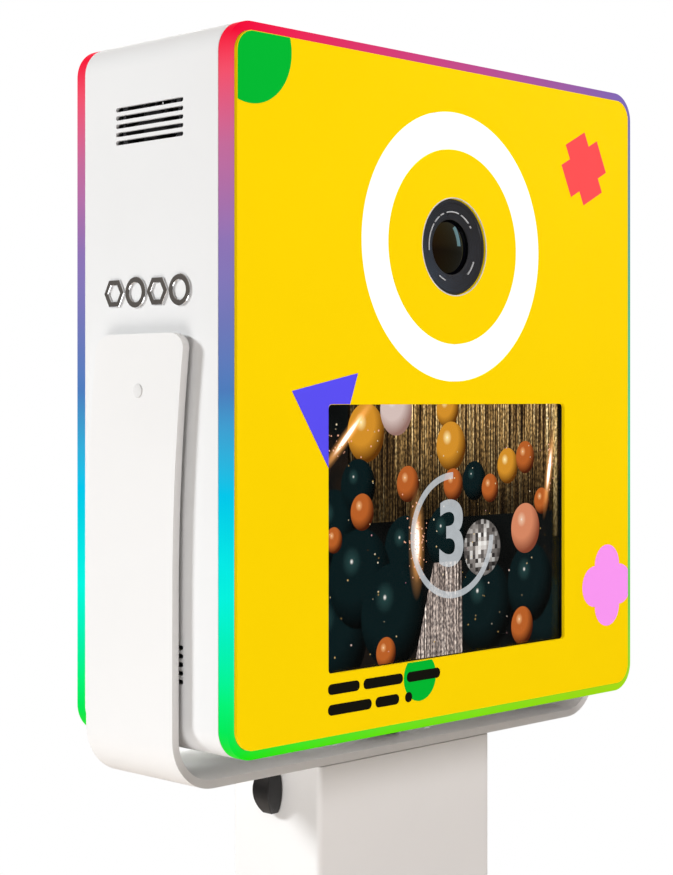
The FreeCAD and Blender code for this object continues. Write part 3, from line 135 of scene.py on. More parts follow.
class Nodes:
    """Node tree, with short-hand for adding and joining nodes."""

    def __init__(self, tree: bpy.types.NodeTree) -> None:
        """Start on an emptied tree."""
        self.tree = tree
        tree.nodes.clear()

    def node(self, kind: str, inputs: Optional[dict] = None, **settings) -> bpy.types.Node:
        """Add a node.

        Args:
            kind: Node type without its ShaderNode prefix.
            inputs: Values or output sockets by input name or number.
            settings: Properties of the node.

        Returns:
            The new node.
        """
        made = self.tree.nodes.new("ShaderNode" + kind)
        for key, value in settings.items():
            setattr(made, key, value)
        for key, value in (inputs or {}).items():
            if isinstance(value, Socket):
                self.tree.links.new(value, made.inputs[key])
            else:
                made.inputs[key].default_value = value
        return made

    def ranged(self, value: Socket, start: float, end: float, low: float = 0.0,
               high: float = 1.0, **settings) -> Socket:
        """Map a value from one range to another."""
        inputs = {"Value": value, 1: start, 2: end, 3: low, 4: high}
        return self.node("MapRange", inputs, **settings).outputs["Result"]

    def vector(self, operation: str, first: Socket,
               second: Union[Socket, Sequence[float]]) -> bpy.types.Node:
        """Vector maths on a socket and another or a fixed vector."""
        return self.node("VectorMath", {0: first, 1: second}, operation=operation)

    def ramp(self, factor: Socket, stops: Sequence[tuple[float, Colour]]) -> Socket:
        """Colour ramp.

        Args:
            factor: Socket that runs along the ramp.
            stops: Places from 0 to 1 with their colours.

        Returns:
            The ramp's colour.
        """
        made = self.node("ValToRGB", {0: factor})
        elements = made.color_ramp.elements
        while len(elements) < len(stops):
            elements.new(0.5)
        for element, (position, colour) in zip(elements, stops):
            element.position = position
            element.color = colour
        return made.outputs["Color"]


class Sheet(Nodes):
    """Node sheet of one material."""

    def __init__(self, name: str) -> None:
        """Start a material that has only an output."""
        self.material = bpy.data.materials.new(name)
        self.material.use_nodes = True
        super().__init__(self.material.node_tree)
        self.output = self.node("OutputMaterial")

    def place(self) -> Socket:
        """Object coordinates."""
        return self.node("TexCoord").outputs["Object"]

    def own_map(self) -> Socket:
        """The piece's own UV map."""
        return self.node("UVMap", uv_map="UVMap").outputs["UV"]

    def stretched(self, scale: Point) -> Socket:
        """Object coordinates scaled along each axis."""
        return self.node("Mapping", {"Vector": self.place(), "Scale": scale}).outputs["Vector"]

    def noise(self, scale: float, detail: float = 2.0, vector: Optional[Socket] = None) -> Socket:
        """Noise factor on object coordinates or on a given vector."""
        inputs = {"Vector": vector or self.place(), "Scale": scale, "Detail": detail}
        return self.node("TexNoise", inputs).outputs["Fac"]

    def spread(self, factor: Socket, middle_value: float, reach: float) -> Socket:
        """Stretch a noise factor over a range about a middle value."""
        return self.ranged(factor, 0.3, 0.7, middle_value - reach, middle_value + reach)

    def bump(self, height: Socket, strength: float, distance: float) -> Socket:
        """Bumped normal from a height."""
        inputs = {"Height": height, "Strength": strength, "Distance": distance}
        return self.node("Bump", inputs).outputs["Normal"]

    def shaded(self, base: Colour, amount: float, scale: float) -> Socket:
        """Vary a colour a little, darker and lighter, by a broad noise.

        Args:
            base: Linear colour.
            amount: Share by which it varies.
            scale: Scale of the noise.

        Returns:
            The varied colour.
        """
        low = tuple(channel * (1 - amount) for channel in base[:3]) + (1.0,)
        high = tuple(min(channel * (1 + amount), 1.0) for channel in base[:3]) + (1.0,)
        return self.ramp(self.noise(scale, 4.0), [(0.3, low), (0.7, high)])

    def principled(self, **inputs) -> bpy.types.Material:
        """Join a principled shader to the output.

        Args:
            inputs: Its inputs by name, with underscores for spaces.

        Returns:
            The finished material.
        """
        named = {key.replace("_", " "): value for key, value in inputs.items()}
        shader = self.node("BsdfPrincipled", named)
        self.tree.links.new(shader.outputs[0], self.output.inputs["Surface"])
        return self.material

    def lit(self, glow: Socket, strength: Level = 1.0, alpha: Level = 1.0, roughness: float = 0.4,
            gloss: float = 0.0) -> bpy.types.Material:
        """Make a black surface that shines by itself.

        Args:
            glow: Colour of its light.
            strength: Strength of its light.
            alpha: How opaque it is.
            roughness: Roughness of what it reflects.
            gloss: Specular level.

        Returns:
            The finished material.
        """
        return self.principled(Base_Color=(0.0, 0.0, 0.0, 1.0), Roughness=roughness, Alpha=alpha,
                               Specular_IOR_Level=gloss, Emission_Color=glow,
                               Emission_Strength=strength)


@dataclass(frozen=True)
class Finish:
    """Base of every finish; a finish makes its material once."""

    name: str

    def build(self) -> bpy.types.Material:
        """Make the material."""
        raise NotImplementedError

    def material(self) -> bpy.types.Material:
        """Material of this finish, made on first use."""
        return bpy.data.materials.get(self.name) or self.build()


@dataclass(frozen=True)
class Coat(Finish):
    """Even surface with a fine skin, a slight mottle and a gloss that varies a little."""

    colour: Colour
    roughness: float = 0.42
    skin: float = 0.10
    skin_scale: float = 1500.0
    mottle: float = 0.012
    mottle_scale: float = 9.0
    gloss_scale: float = 60.0
    gloss_reach: float = 0.05

    def build(self) -> bpy.types.Material:
        """Make the material."""
        sheet = Sheet(self.name)
        colour = sheet.shaded(self.colour, self.mottle, self.mottle_scale)
        skin = sheet.bump(sheet.noise(self.skin_scale), self.skin, 0.1 * MM)
        gloss = sheet.spread(sheet.noise(self.gloss_scale, 3.0), self.roughness, self.gloss_reach)
        return sheet.principled(Base_Color=colour, Normal=skin, Roughness=gloss)


@dataclass(frozen=True)
class PowderCoat(Coat):
    """Satin powder coat with a fine orange-peel skin."""


@dataclass(frozen=True)
class Moulding(Coat):
    """Moulded plastic or rubber with a fine spark-eroded grain."""

    roughness: float = 0.5
    skin: float = 0.25
    skin_scale: float = 2400.0
    mottle: float = 0.12
    mottle_scale: float = 40.0
    gloss_scale: float = 140.0
    gloss_reach: float = 0.07


@dataclass(frozen=True)
class Print(Finish):
    """Printed film: even colour under a satin laminate with a faint tooth, and a painted glow in
    its own colour that brightens it as if lit.
    """

    colour: Colour
    # Strength of the painted glow: emission that brightens the print though it is no lamp.
    glow: float = 0.0

    def build(self) -> bpy.types.Material:
        """Make the material."""
        sheet = Sheet(self.name)
        # The emission below is painted light: the print glows in its own colour though it is no
        # lamp.
        return sheet.principled(Base_Color=sheet.shaded(self.colour, 0.01, 14.0),
                                Normal=sheet.bump(sheet.noise(3200.0), 0.05, 0.05 * MM),
                                Roughness=sheet.spread(sheet.noise(90.0, 3.0), 0.52, 0.06),
                                Specular_IOR_Level=0.06, Emission_Color=self.colour,
                                Emission_Strength=self.glow)


@dataclass(frozen=True)
class Metal(Finish):
    """Bare or plated metal with fine scratches along one direction."""

    colour: Colour
    roughness: float = 0.3
    scratch: float = 0.15
    stretch: Point = (1.0, 1.0, 30.0)

    def build(self) -> bpy.types.Material:
        """Make the material."""
        sheet = Sheet(self.name)
        grain = sheet.noise(160.0, 4.0, sheet.stretched(self.stretch))
        return sheet.principled(Base_Color=sheet.shaded(self.colour, 0.05, 60.0), Metallic=1.0,
                                Roughness=sheet.spread(grain, self.roughness, self.roughness / 4),
                                Normal=sheet.bump(grain, self.scratch, 0.05 * MM))


@dataclass(frozen=True)
class LitRim(Finish):
    """Opal plastic lit from behind: the colour runs down each side and across the head."""

    centre: Vector
    half_width: float
    half_height: float
    left: tuple[tuple[float, str], ...]
    right: tuple[tuple[float, str], ...]
    strength: float = 0.95

    def build(self) -> bpy.types.Material:
        """Make the material."""
        sheet = Sheet(self.name)
        low = self.centre - Vector((self.half_width, 0.0, self.half_height))
        split = sheet.node("SeparateXYZ", {0: sheet.place()}).outputs
        across = sheet.ranged(split["X"], low.x, low.x + 2 * self.half_width)
        up = sheet.ranged(split["Z"], low.z, low.z + 2 * self.half_height)
        blend = sheet.node("Mix", {"Factor": across}, data_type="RGBA")
        for name, stops in (("A", self.left), ("B", self.right)):
            end = [item for item in blend.inputs if item.name == name and item.type == "RGBA"][0]
            sheet.tree.links.new(sheet.ramp(up, graded(stops)), end)
        colour = [item for item in blend.outputs if item.type == "RGBA"][0]
        glow = sheet.spread(sheet.noise(22.0, 2.0), self.strength, self.strength * 0.03)
        return sheet.lit(colour, glow, roughness=0.45, gloss=0.05)


@dataclass(frozen=True)
class LitRing(Finish):
    """Opal ring lit white, a touch cooler and dimmer towards its edges."""

    centre: Vector
    middle: float
    width: float

    def build(self) -> bpy.types.Material:
        """Make the material."""
        sheet = Sheet(self.name)
        offset = sheet.vector("DISTANCE", sheet.place(), self.centre).outputs["Value"]
        edge = sheet.ranged(offset, self.middle, self.middle + self.width / 2, 1.0, 0.97)
        warm = sheet.ramp(edge, graded([(0.0, "F4F6FF"), (1.0, "FFFFFF")]))
        return sheet.principled(Base_Color=(0.2, 0.2, 0.2, 1.0), Roughness=0.3,
                                Emission_Color=warm, Emission_Strength=1.0)


@dataclass(frozen=True)
class CoatedGlass(Finish):
    """Dark camera glass with a coloured anti-reflection coating."""

    colour: Colour = (0.002, 0.002, 0.004, 1.0)
    coating_nm: float = 250.0

    def build(self) -> bpy.types.Material:
        """Make the material."""
        sheet = Sheet(self.name)
        return sheet.principled(Roughness=sheet.spread(sheet.noise(40.0), 0.0225, 0.0075),
                                Base_Color=sheet.shaded(self.colour, 0.1, 30.0), IOR=1.7,
                                Thin_Film_Thickness=self.coating_nm, Thin_Film_IOR=1.4)


@dataclass(frozen=True)
class ClearGlass(Finish):
    """Clear touch glass over the screen, coated against reflections."""

    def build(self) -> bpy.types.Material:
        """Make the material."""
        sheet = Sheet(self.name)
        smear = sheet.ranged(sheet.noise(35.0, 3.0), 0.3, 0.7, 0.015, 0.05)
        return sheet.principled(Base_Color=(1.0, 1.0, 1.0, 1.0), Roughness=smear, IOR=1.16,
                                Transmission_Weight=1.0)


@dataclass(frozen=True)
class ScreenColour(Finish):
    """Plain lit colour on the screen, with a slight grain."""

    colour: Colour
    strength: float = 1.0
    alpha: float = 1.0

    def build(self) -> bpy.types.Material:
        """Make the material."""
        sheet = Sheet(self.name)
        return sheet.lit(sheet.shaded(self.colour, 0.06, 220.0), self.strength, self.alpha)


@dataclass(frozen=True)
class ScreenPatches(Finish):
    """Lit colours that change from place to place on the screen."""

    scale: float
    detail: float
    stops: tuple[tuple[float, str], ...]
    strength: float

    def build(self) -> bpy.types.Material:
        """Make the material."""
        sheet = Sheet(self.name)
        tone = sheet.ramp(sheet.noise(self.scale, self.detail), graded(self.stops))
        return sheet.lit(tone, self.strength)


@dataclass(frozen=True)
class Tinsel(Finish):
    """Foil fringe: narrow upright strands with glints, darker low down and at its left edge."""

    low: Vector
    high: Vector
    tones: tuple[str, ...]
    foot: float = 0.12
    left: float = 0.1

    def build(self) -> bpy.types.Material:
        """Make the material."""
        sheet = Sheet(self.name)
        strand = sheet.noise(1.0, 2.0, sheet.stretched((760.0, 1.0, 9.0)))
        glint = sheet.noise(1.0, 1.0, sheet.stretched((620.0, 1.0, 330.0)))
        split = sheet.node("SeparateXYZ", {0: sheet.place()}).outputs
        height = sheet.ranged(split["Z"], self.low.z, self.high.z, self.foot,
                              interpolation_type="SMOOTHSTEP")
        reach = self.low.x + (self.high.x - self.low.x) * 0.22
        side = sheet.ranged(split["X"], self.low.x, reach, self.left)
        shade = sheet.node("Math", {0: height, 1: side}, operation="MULTIPLY")
        foil = sheet.ramp(strand, graded(list(zip((0.32, 0.44, 0.52, 0.60, 0.70), self.tones))))
        spark = sheet.ramp(glint, [(0.42, (0.5, 0.48, 0.45, 1.0)), (0.64, (1.9, 1.8, 1.6, 1.0))])
        return sheet.lit(sheet.vector("MULTIPLY", foil, spark).outputs["Vector"],
                         shade.outputs["Value"])


@dataclass(frozen=True)
class Balloon(Finish):
    """Balloons in the picture, each shaded across its own disc: glint, light, body and shade."""

    tones: tuple[str, str, str]
    strength: float = 1.0
    lamp: Point = (0.36, 0.68, 0.0)

    def build(self) -> bpy.types.Material:
        """Make the material."""
        sheet = Sheet(self.name)
        lamp = sheet.vector("DISTANCE", sheet.own_map(), self.lamp).outputs["Value"]
        dark, body, light = (linear(code) for code in self.tones)
        tone = sheet.ramp(lamp, [(0.0, (1.0, 0.96, 0.9, 1.0)), (0.03, light), (0.16, body),
                                 (0.38, body), (0.66, dark)])
        return sheet.lit(tone, self.strength)


@dataclass(frozen=True)
class MirrorBall(Finish):
    """Mirror ball in the picture: small square mirrors, each its own grey, dimmer at the rim."""

    tiles: float = 13.0

    def build(self) -> bpy.types.Material:
        """Make the material."""
        sheet = Sheet(self.name)
        across = sheet.own_map()
        tile = sheet.vector("SNAP", across, (1 / self.tiles,) * 3).outputs["Vector"]
        grey = sheet.node("TexWhiteNoise", {"Vector": tile}).outputs["Value"]
        mirror = sheet.ramp(grey, graded([(0.0, "3C3836"), (0.35, "8C8580"), (0.75, "C9C2BC"),
                                          (1.0, "FFFDF8")]))
        rim = sheet.vector("DISTANCE", across, (0.45, 0.56, 0.0)).outputs["Value"]
        return sheet.lit(mirror, sheet.ranged(rim, 0.2, 0.58, 0.95, 0.25))


@dataclass(frozen=True)
class Glow(Finish):
    """Soft light in the picture that fades out from its centre along an ellipse."""

    centre: Vector
    across: float
    up: float
    lean: float
    core: Colour
    edge: Colour
    strength: float = 1.0

    def build(self) -> bpy.types.Material:
        """Make the material."""
        sheet = Sheet(self.name)
        local = sheet.vector("SUBTRACT", sheet.place(), self.centre).outputs["Vector"]
        turned = sheet.node("VectorRotate", {"Vector": local, "Axis": (0.0, 1.0, 0.0),
                                             "Angle": math.radians(self.lean)}).outputs["Vector"]
        sized = sheet.vector("MULTIPLY", turned, (1 / self.across, 0.0, 1 / self.up))
        far = sheet.node("VectorMath", {0: sized.outputs["Vector"]}, operation="LENGTH")
        tone = sheet.ramp(far.outputs["Value"], [(0.12, self.core), (0.45, self.edge)])
        fade = sheet.ramp(far.outputs["Value"], [
            (place, (grey, grey, grey, 1.0)) for place, grey in (
                (0.0, 1.0), (0.18, 0.75), (0.40, 0.20), (0.70, 0.04), (1.0, 0.0))])
        return sheet.lit(tone, self.strength, fade)


WHITE = PowderCoat("white_powder_coat", linear("F3F3F3"))
SHELL_WHITE = PowderCoat("white_shell_coat", linear("F1F2F3"), 0.38, 0.08)
# The coloured prints carry a painted glow (their last number): emission that brightens them though
# they are no lamps.
YELLOW = Print("yellow_print", linear("FBD700"), 0.22)
GREEN = Print("green_print", linear("00B932"), 0.22)
RED = Print("red_print", linear("FC5154"), 0.22)
VIOLET = Print("violet_print", linear("5A50F8"), 0.22)
PINK = Print("pink_print", linear("FA9BFB"), 0.22)
INK = Print("black_print", linear("16150F"))
BLACK = Moulding("black_plastic", (0.012, 0.012, 0.013, 1.0))
KNOB_BLACK = Moulding("black_knob_plastic", (0.010, 0.010, 0.011, 1.0), 0.42, 0.35, 1600.0)
LENS_BLACK = Moulding("black_lens_plastic", (0.026, 0.028, 0.034, 1.0), 0.34, 0.12, 3000.0)
RUBBER = Moulding("black_rubber", (0.014, 0.014, 0.014, 1.0), 0.78, 0.5, 1200.0)
SHEET_BLACK = PowderCoat("black_powder_coat", (0.015, 0.015, 0.016, 1.0), 0.5, 0.2)
CAP_WHITE = Moulding("white_cap_plastic", linear("E9E9E9"), 0.35, 0.08)
# The white marking carries a faint painted glow (its last number).
MARK_WHITE = Print("white_marking", linear("C9CDD2"), 0.05)
STEEL = Metal("zinc_plate", (0.62, 0.63, 0.65, 1.0), 0.34)
ALUMINIUM = Metal("mill_aluminium", (0.78, 0.78, 0.80, 1.0), 0.36)
BRONZE = Metal("sintered_bronze", (0.55, 0.36, 0.17, 1.0), 0.45, 0.4)
CHROME = Metal("polished_chrome", (0.80, 0.81, 0.83, 1.0), 0.07, 0.03)
BOARD = Moulding("white_circuit_board", linear("E6E6DF"), 0.4, 0.1, 900.0)
GLASS = ClearGlass("clear_glass")
LENS_GLASS = CoatedGlass("coated_lens_glass")

SLOT_FINISH: dict[str, Finish] = {
    "powder_white": WHITE, "shell_white": SHELL_WHITE, "zinc_steel": STEEL,
    "black_rubber": RUBBER, "black_plastic": BLACK, "panel_yellow": YELLOW,
    "aluminium": ALUMINIUM, "bronze": BRONZE, "chrome": CHROME, "glass": GLASS,
    "screen": SHEET_BLACK, "board": BOARD, "cap_white": CAP_WHITE, "magnet": STEEL,
    "black_shelf": SHEET_BLACK, "lit_rim": CAP_WHITE, "lit_ring": CAP_WHITE,
}


# ---- Workshop: shaping one piece with edit-mode operators ----------------------------------


def deselect() -> None:
    """Deselect every object."""
    bpy.ops.object.select_all(action="DESELECT")


def middle(low: Point, high: Point) -> Vector:
    """Centre of a box."""
    return (Vector(low) + Vector(high)) / 2


def node_centre(node: str) -> Vector:
    """Centre of a CAD node's box."""
    return middle(*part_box(node))


class Workpiece:
    """One mesh under work."""

    def __init__(self, name: str) -> None:
        """Take the active object as the piece.

        Args:
            name: Name of the piece.
        """
        self.obj = bpy.context.object
        self.obj.name = name
        self.obj.data.name = name
        self.settle()

    # -- starts --

    @classmethod
    def block(cls, name: str, low: Sequence[float], high: Sequence[float]) -> "Workpiece":
        """Start from a block between two corners."""
        deselect()
        bpy.ops.mesh.primitive_cube_add(size=1.0, location=middle(low, high),
                                        scale=Vector(high) - Vector(low))
        return cls(name)

    @classmethod
    def bar(cls, name: str, centre: Sequence[float], radius: float, length: float,
            axis: Axis = Axis.Y, sides: int = 64) -> "Workpiece":
        """Start from a round bar about one axis."""
        deselect()
        bpy.ops.mesh.primitive_cylinder_add(vertices=sides, radius=radius, depth=length,
                                            location=centre, rotation=axis.value)
        return cls(name)

    @classmethod
    def turned(cls, name: str, centre: Sequence[float], stations: Profile, solid: bool = False,
               sides: int = 96, axis: Axis = Axis.Y) -> "Workpiece":
        """Turn a piece from a circle that is extruded and resized along its axis.

        Args:
            name: Name of the piece.
            centre: Point on the axis where the stations' distances start.
            stations: Radius and distance along the axis, in order round the profile.
            solid: Fill both ends instead of closing the profile on itself.
            sides: Corners of the circle.
            axis: Axis of turning.

        Returns:
            The turned piece.
        """
        deselect()
        origin, along = Vector(centre), axis.along
        radius, distance = stations[0]
        bpy.ops.mesh.primitive_circle_add(vertices=sides, radius=radius, rotation=axis.value,
                                          location=origin + along * distance,
                                          fill_type="NGON" if solid else "NOTHING")
        piece = cls(name)
        bpy.ops.object.mode_set(mode="EDIT")
        bpy.ops.mesh.select_mode(type="EDGE")
        bpy.ops.mesh.select_all(action="SELECT")
        for next_radius, next_distance in list(stations[1:]) + ([] if solid else [stations[0]]):
            step = along * (next_distance - distance)
            bpy.ops.mesh.extrude_edges_move(TRANSFORM_OT_translate={"value": step})
            ratio = next_radius / radius
            if abs(ratio - 1.0) > 1e-9:
                bpy.ops.transform.resize(value=tuple(1.0 if part else ratio for part in along),
                                         center_override=origin + along * next_distance)
            radius, distance = next_radius, next_distance
        if solid:
            bpy.ops.mesh.edge_face_add()
        return piece.heal()

    @classmethod
    def copy_of(cls, node: str, name: str) -> "Workpiece":
        """Start from a copy of a CAD node, with its doubles merged and flats cleaned.

        Args:
            node: Name of the node.
            name: Name of the piece.

        Returns:
            The copy, free of the node's ties.
        """
        deselect()
        source = frame["nodes"][node]
        source.hide_set(False)
        source.select_set(True)
        bpy.context.view_layer.objects.active = source
        bpy.ops.object.duplicate()
        copy = bpy.context.object
        copy.parent = None
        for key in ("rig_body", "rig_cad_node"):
            if key in copy:
                del copy[key]
        copy.data.materials.clear()
        piece = cls(name)
        bpy.ops.object.mode_set(mode="EDIT")
        bpy.ops.mesh.customdata_custom_splitnormals_clear()
        piece.heal(2 * MERGE)
        piece.open("FACE")
        bpy.ops.mesh.select_all(action="SELECT")
        bpy.ops.mesh.dissolve_limited(angle_limit=math.radians(1.0))
        return piece.close()

    # -- shaping --

    def activate(self) -> None:
        """Select this piece alone and make it the active one."""
        deselect()
        self.obj.select_set(True)
        bpy.context.view_layer.objects.active = self.obj

    def settle(self) -> None:
        """Apply the object's place to its mesh."""
        self.activate()
        bpy.ops.object.transform_apply(location=True, rotation=True, scale=True)

    def open(self, mode: str) -> bmesh.types.BMesh:
        """Enter edit mode with nothing selected.

        Args:
            mode: VERT, EDGE or FACE.

        Returns:
            The edit mesh.
        """
        self.activate()
        bpy.ops.object.mode_set(mode="EDIT")
        bpy.ops.mesh.select_mode(type=mode)
        bpy.ops.mesh.select_all(action="DESELECT")
        return bmesh.from_edit_mesh(self.obj.data)

    def close(self) -> "Workpiece":
        """Leave edit mode."""
        bpy.ops.object.mode_set(mode="OBJECT")
        return self

    def heal(self, distance: float = MERGE) -> "Workpiece":
        """Merge doubles, point the faces outwards and leave edit mode.

        Args:
            distance: How near doubles lie.

        Returns:
            The piece.
        """
        bpy.ops.mesh.select_all(action="SELECT")
        bpy.ops.mesh.remove_doubles(threshold=distance)
        bpy.ops.mesh.normals_make_consistent(inside=False)
        return self.close()

    def pick_edges(self, test: Test) -> None:
        """Open the piece and select the edges whose middle and direction pass a test.

        Args:
            test: Test of an edge.
        """
        mesh = self.open("EDGE")
        for edge in mesh.edges:
            start, end = (vertex.co for vertex in edge.verts)
            if test((start + end) / 2, (end - start).normalized()):
                edge.select_set(True)
        bmesh.update_edit_mesh(self.obj.data)

    def pick_faces(self, test: Test) -> None:
        """Open the piece and select the faces whose centre and normal pass a test.

        Args:
            test: Test of a face.
        """
        mesh = self.open("FACE")
        for face in mesh.faces:
            if test(face.calc_center_median(), face.normal):
                face.select_set(True)
        bmesh.update_edit_mesh(self.obj.data)

    def scaled(self, size: Point, centre: Vector) -> "Workpiece":
        """Resize what is selected in edit mode about a centre, and leave edit mode."""
        bpy.ops.transform.resize(value=size, center_override=centre)
        return self.close()

    def slice_off(self, point: Sequence[float], outward: Sequence[float]) -> "Workpiece":
        """Cut away what lies beyond a plane and fill the cut.

        Args:
            point: Point on the plane.
            outward: Direction of what is cut away.

        Returns:
            The piece.
        """
        self.open("FACE")
        bpy.ops.mesh.select_all(action="SELECT")
        bpy.ops.mesh.bisect(plane_co=Vector(point), plane_no=Vector(outward).normalized(),
                            use_fill=True, clear_outer=True)
        return self.close()

    def round_edges(self, test: Test, radius: float, segments: int) -> "Workpiece":
        """Round the edges that pass a test."""
        self.pick_edges(test)
        bpy.ops.mesh.bevel(offset=radius, segments=segments, affect="EDGES", clamp_overlap=False)
        return self.close()

    def modifier(self, kind: str, **settings) -> "Workpiece":
        """Add a modifier, set it and apply it.

        Args:
            kind: Type of the modifier.
            settings: Its properties.

        Returns:
            The piece.
        """
        self.activate()
        bpy.ops.object.modifier_add(type=kind)
        added = self.obj.modifiers[-1]
        for key, value in settings.items():
            setattr(added, key, value)
        bpy.ops.object.modifier_apply(modifier=added.name)
        return self

    def cut(self, *tools: "Workpiece") -> "Workpiece":
        """Cut the tools' shapes away; the tools are used up."""
        return self.combine("DIFFERENCE", tools)

    def weld(self, *others: "Workpiece") -> "Workpiece":
        """Join other shapes on as one solid; they are used up."""
        return self.combine("UNION", others)

    def trim(self, *others: "Workpiece") -> "Workpiece":
        """Keep only what lies inside the others; they are used up."""
        return self.combine("INTERSECT", others)

    def combine(self, operation: str, tools: Iterable["Workpiece"]) -> "Workpiece":
        """Apply one boolean operation with each tool."""
        for tool in tools:
            self.modifier("BOOLEAN", operation=operation, solver="EXACT", object=tool.obj)
            bpy.data.objects.remove(tool.obj)
        return self

    def soften(self, width: float, segments: int = 2, angle: float = 30.0) -> "Workpiece":
        """Round every edge sharper than an angle."""
        return self.modifier("BEVEL", width=width, segments=segments, limit_method="ANGLE",
                             angle_limit=math.radians(angle), use_clamp_overlap=True)

    def join(self, others: Sequence["Workpiece"]) -> "Workpiece":
        """Make other pieces part of this mesh."""
        self.activate()
        for other in others:
            other.obj.select_set(True)
        bpy.ops.object.join()
        return self

    def move(self, offset: Sequence[float]) -> "Workpiece":
        """Shift the whole piece."""
        self.obj.location = Vector(offset)
        self.settle()
        return self

    def turn(self, axis: Axis, degrees: float, centre: Sequence[float]) -> "Workpiece":
        """Turn the whole piece.

        Args:
            axis: Axis it turns about.
            degrees: Angle.
            centre: Point that stays.

        Returns:
            The piece.
        """
        pivot = Vector(centre)
        self.move(-pivot)
        self.obj.rotation_euler[axis.index] = math.radians(degrees)
        self.settle()
        return self.move(pivot)

    def twin(self, name: str) -> "Workpiece":
        """Copy of the piece with its own mesh."""
        self.activate()
        bpy.ops.object.duplicate()
        return Workpiece(name)

    def finish(self, look: Finish, body: Body, slot: str, replaces: Sequence[str] = (),
               smooth: float = 35.0) -> bpy.types.Object:
        """Shade, dress and mount the piece.

        Args:
            look: Finish to wear.
            body: Body to ride on.
            slot: Material slot of the record that the finish belongs to; not used.
            replaces: CAD nodes that the piece stands for.
            smooth: Edges flatter than this many degrees are shaded smooth.

        Returns:
            The finished object.
        """
        self.activate()
        bpy.ops.object.shade_smooth_by_angle(angle=math.radians(smooth))
        self.modifier("WEIGHTED_NORMAL", keep_sharp=True, weight=100)
        self.obj.data.materials.clear()
        self.obj.data.materials.append(look.material())
        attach(self.obj, body.value)
        for node in replaces:
            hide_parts(node)
        LOG.info("%s: %d faces on %s", self.obj.name, len(self.obj.data.polygons), body.value)
        return self.obj


# ---- Places taken from the frame, and shapes used in many places ---------------------------


@dataclass(frozen=True)
class HeadPlaces:
    """Where the head's features lie, read from the frame's boxes."""

    rim: tuple = field(default_factory=lambda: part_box("front_rim_diffuser"))
    panel: tuple = field(default_factory=lambda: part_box("front_panel"))
    ring: tuple = field(default_factory=lambda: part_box("ring_light_diffuser"))
    corner: float = 21 * MM

    @property
    def centre(self) -> Vector:
        """Centre of the head's outline, on the front rim's face."""
        return Vector((0.0, self.rim[0][1], (self.rim[0][2] + self.rim[1][2]) / 2))

    @property
    def half(self) -> tuple[float, float]:
        """Half the head's width and height."""
        return (self.rim[1][0] - self.rim[0][0]) / 2, (self.rim[1][2] - self.rim[0][2]) / 2

    @property
    def panel_face(self) -> float:
        """Depth of the yellow panel's face."""
        return self.panel[0][1]

    @property
    def lens_centre(self) -> Vector:
        """Point on the lens axis, at the front rim's face."""
        return Vector((0.0, self.rim[0][1], (self.ring[0][2] + self.ring[1][2]) / 2))

    def at(self, x: float, depth: float, z: float) -> Vector:
        """Point in millimetres across, back from the rim's face, and up from the head's centre."""
        return self.centre + Vector((x, depth, z)) * MM


HEAD = HeadPlaces()


def along_x(mid: Vector, way: Vector) -> bool:
    """Edges that run across."""
    return abs(way.x) > 0.9


def along_y(mid: Vector, way: Vector) -> bool:
    """Edges that run front to back."""
    return abs(way.y) > 0.9


def along_z(mid: Vector, way: Vector) -> bool:
    """Edges that run upwards."""
    return abs(way.z) > 0.9


def outline_block(name: str, inset: float, y0: float, y1: float, segments: int = 16) -> Workpiece:
    """Block of the head's rounded outline.

    Args:
        name: Name of the piece.
        inset: Distance in from the outline all round.
        y0: Front depth.
        y1: Rear depth.
        segments: Facets of each corner.

    Returns:
        The block.
    """
    half_x, half_z = (size - inset for size in HEAD.half)
    level = HEAD.centre.z
    piece = Workpiece.block(name, (-half_x, y0, level - half_z), (half_x, y1, level + half_z))
    return piece.round_edges(along_y, HEAD.corner - inset, segments)


def refined(node: str, look: Finish, body: Body, slot: str, edge: float = 0.4,
            steps: int = 2) -> bpy.types.Object:
    """Finished copy of a CAD node with its edges rounded, in the node's place.

    Args:
        node: Name of the node.
        look: Finish to wear.
        body: Body the node rides on.
        slot: Material slot.
        edge: Radius of the rounding in millimetres.
        steps: Facets of the rounding.

    Returns:
        The finished copy.
    """
    piece = Workpiece.copy_of(node, node + "_refined").soften(edge * MM, steps)
    return piece.finish(look, body, slot, [node])


def grommet(node: str, face: Sequence[float], radius: float, axis: Axis, body: Body,
            depth: float, inward: float = -1.0) -> None:
    """Turned rubber grommet with a rolled lip.

    Args:
        node: CAD node it stands for.
        face: Centre of its outer face.
        radius: Radius of its lip.
        axis: Axis it is turned about.
        body: Body it rides on.
        depth: How far it reaches through, in millimetres.
        inward: Sign of the direction into the wall.
    """
    bore, neck, end = radius - 8.5 * MM, radius - 4.5 * MM, depth * MM
    profile = [(bore, end), (bore, 0.9 * MM), (bore + 0.9 * MM, 0.1 * MM),
               (radius - 3.2 * MM, 0.0), (radius - 1.0 * MM, 1.0 * MM), (radius, 2.6 * MM),
               (radius, 3.0 * MM), (neck, 3.0 * MM), (neck, end)]
    stations = [(size, inward * distance) for size, distance in profile]
    piece = Workpiece.turned(node + "_moulded", face, stations, sides=64, axis=axis)
    piece.finish(RUBBER, body, "black_rubber", [node])


# ---- Stand ---------------------------------------------------------------------------------


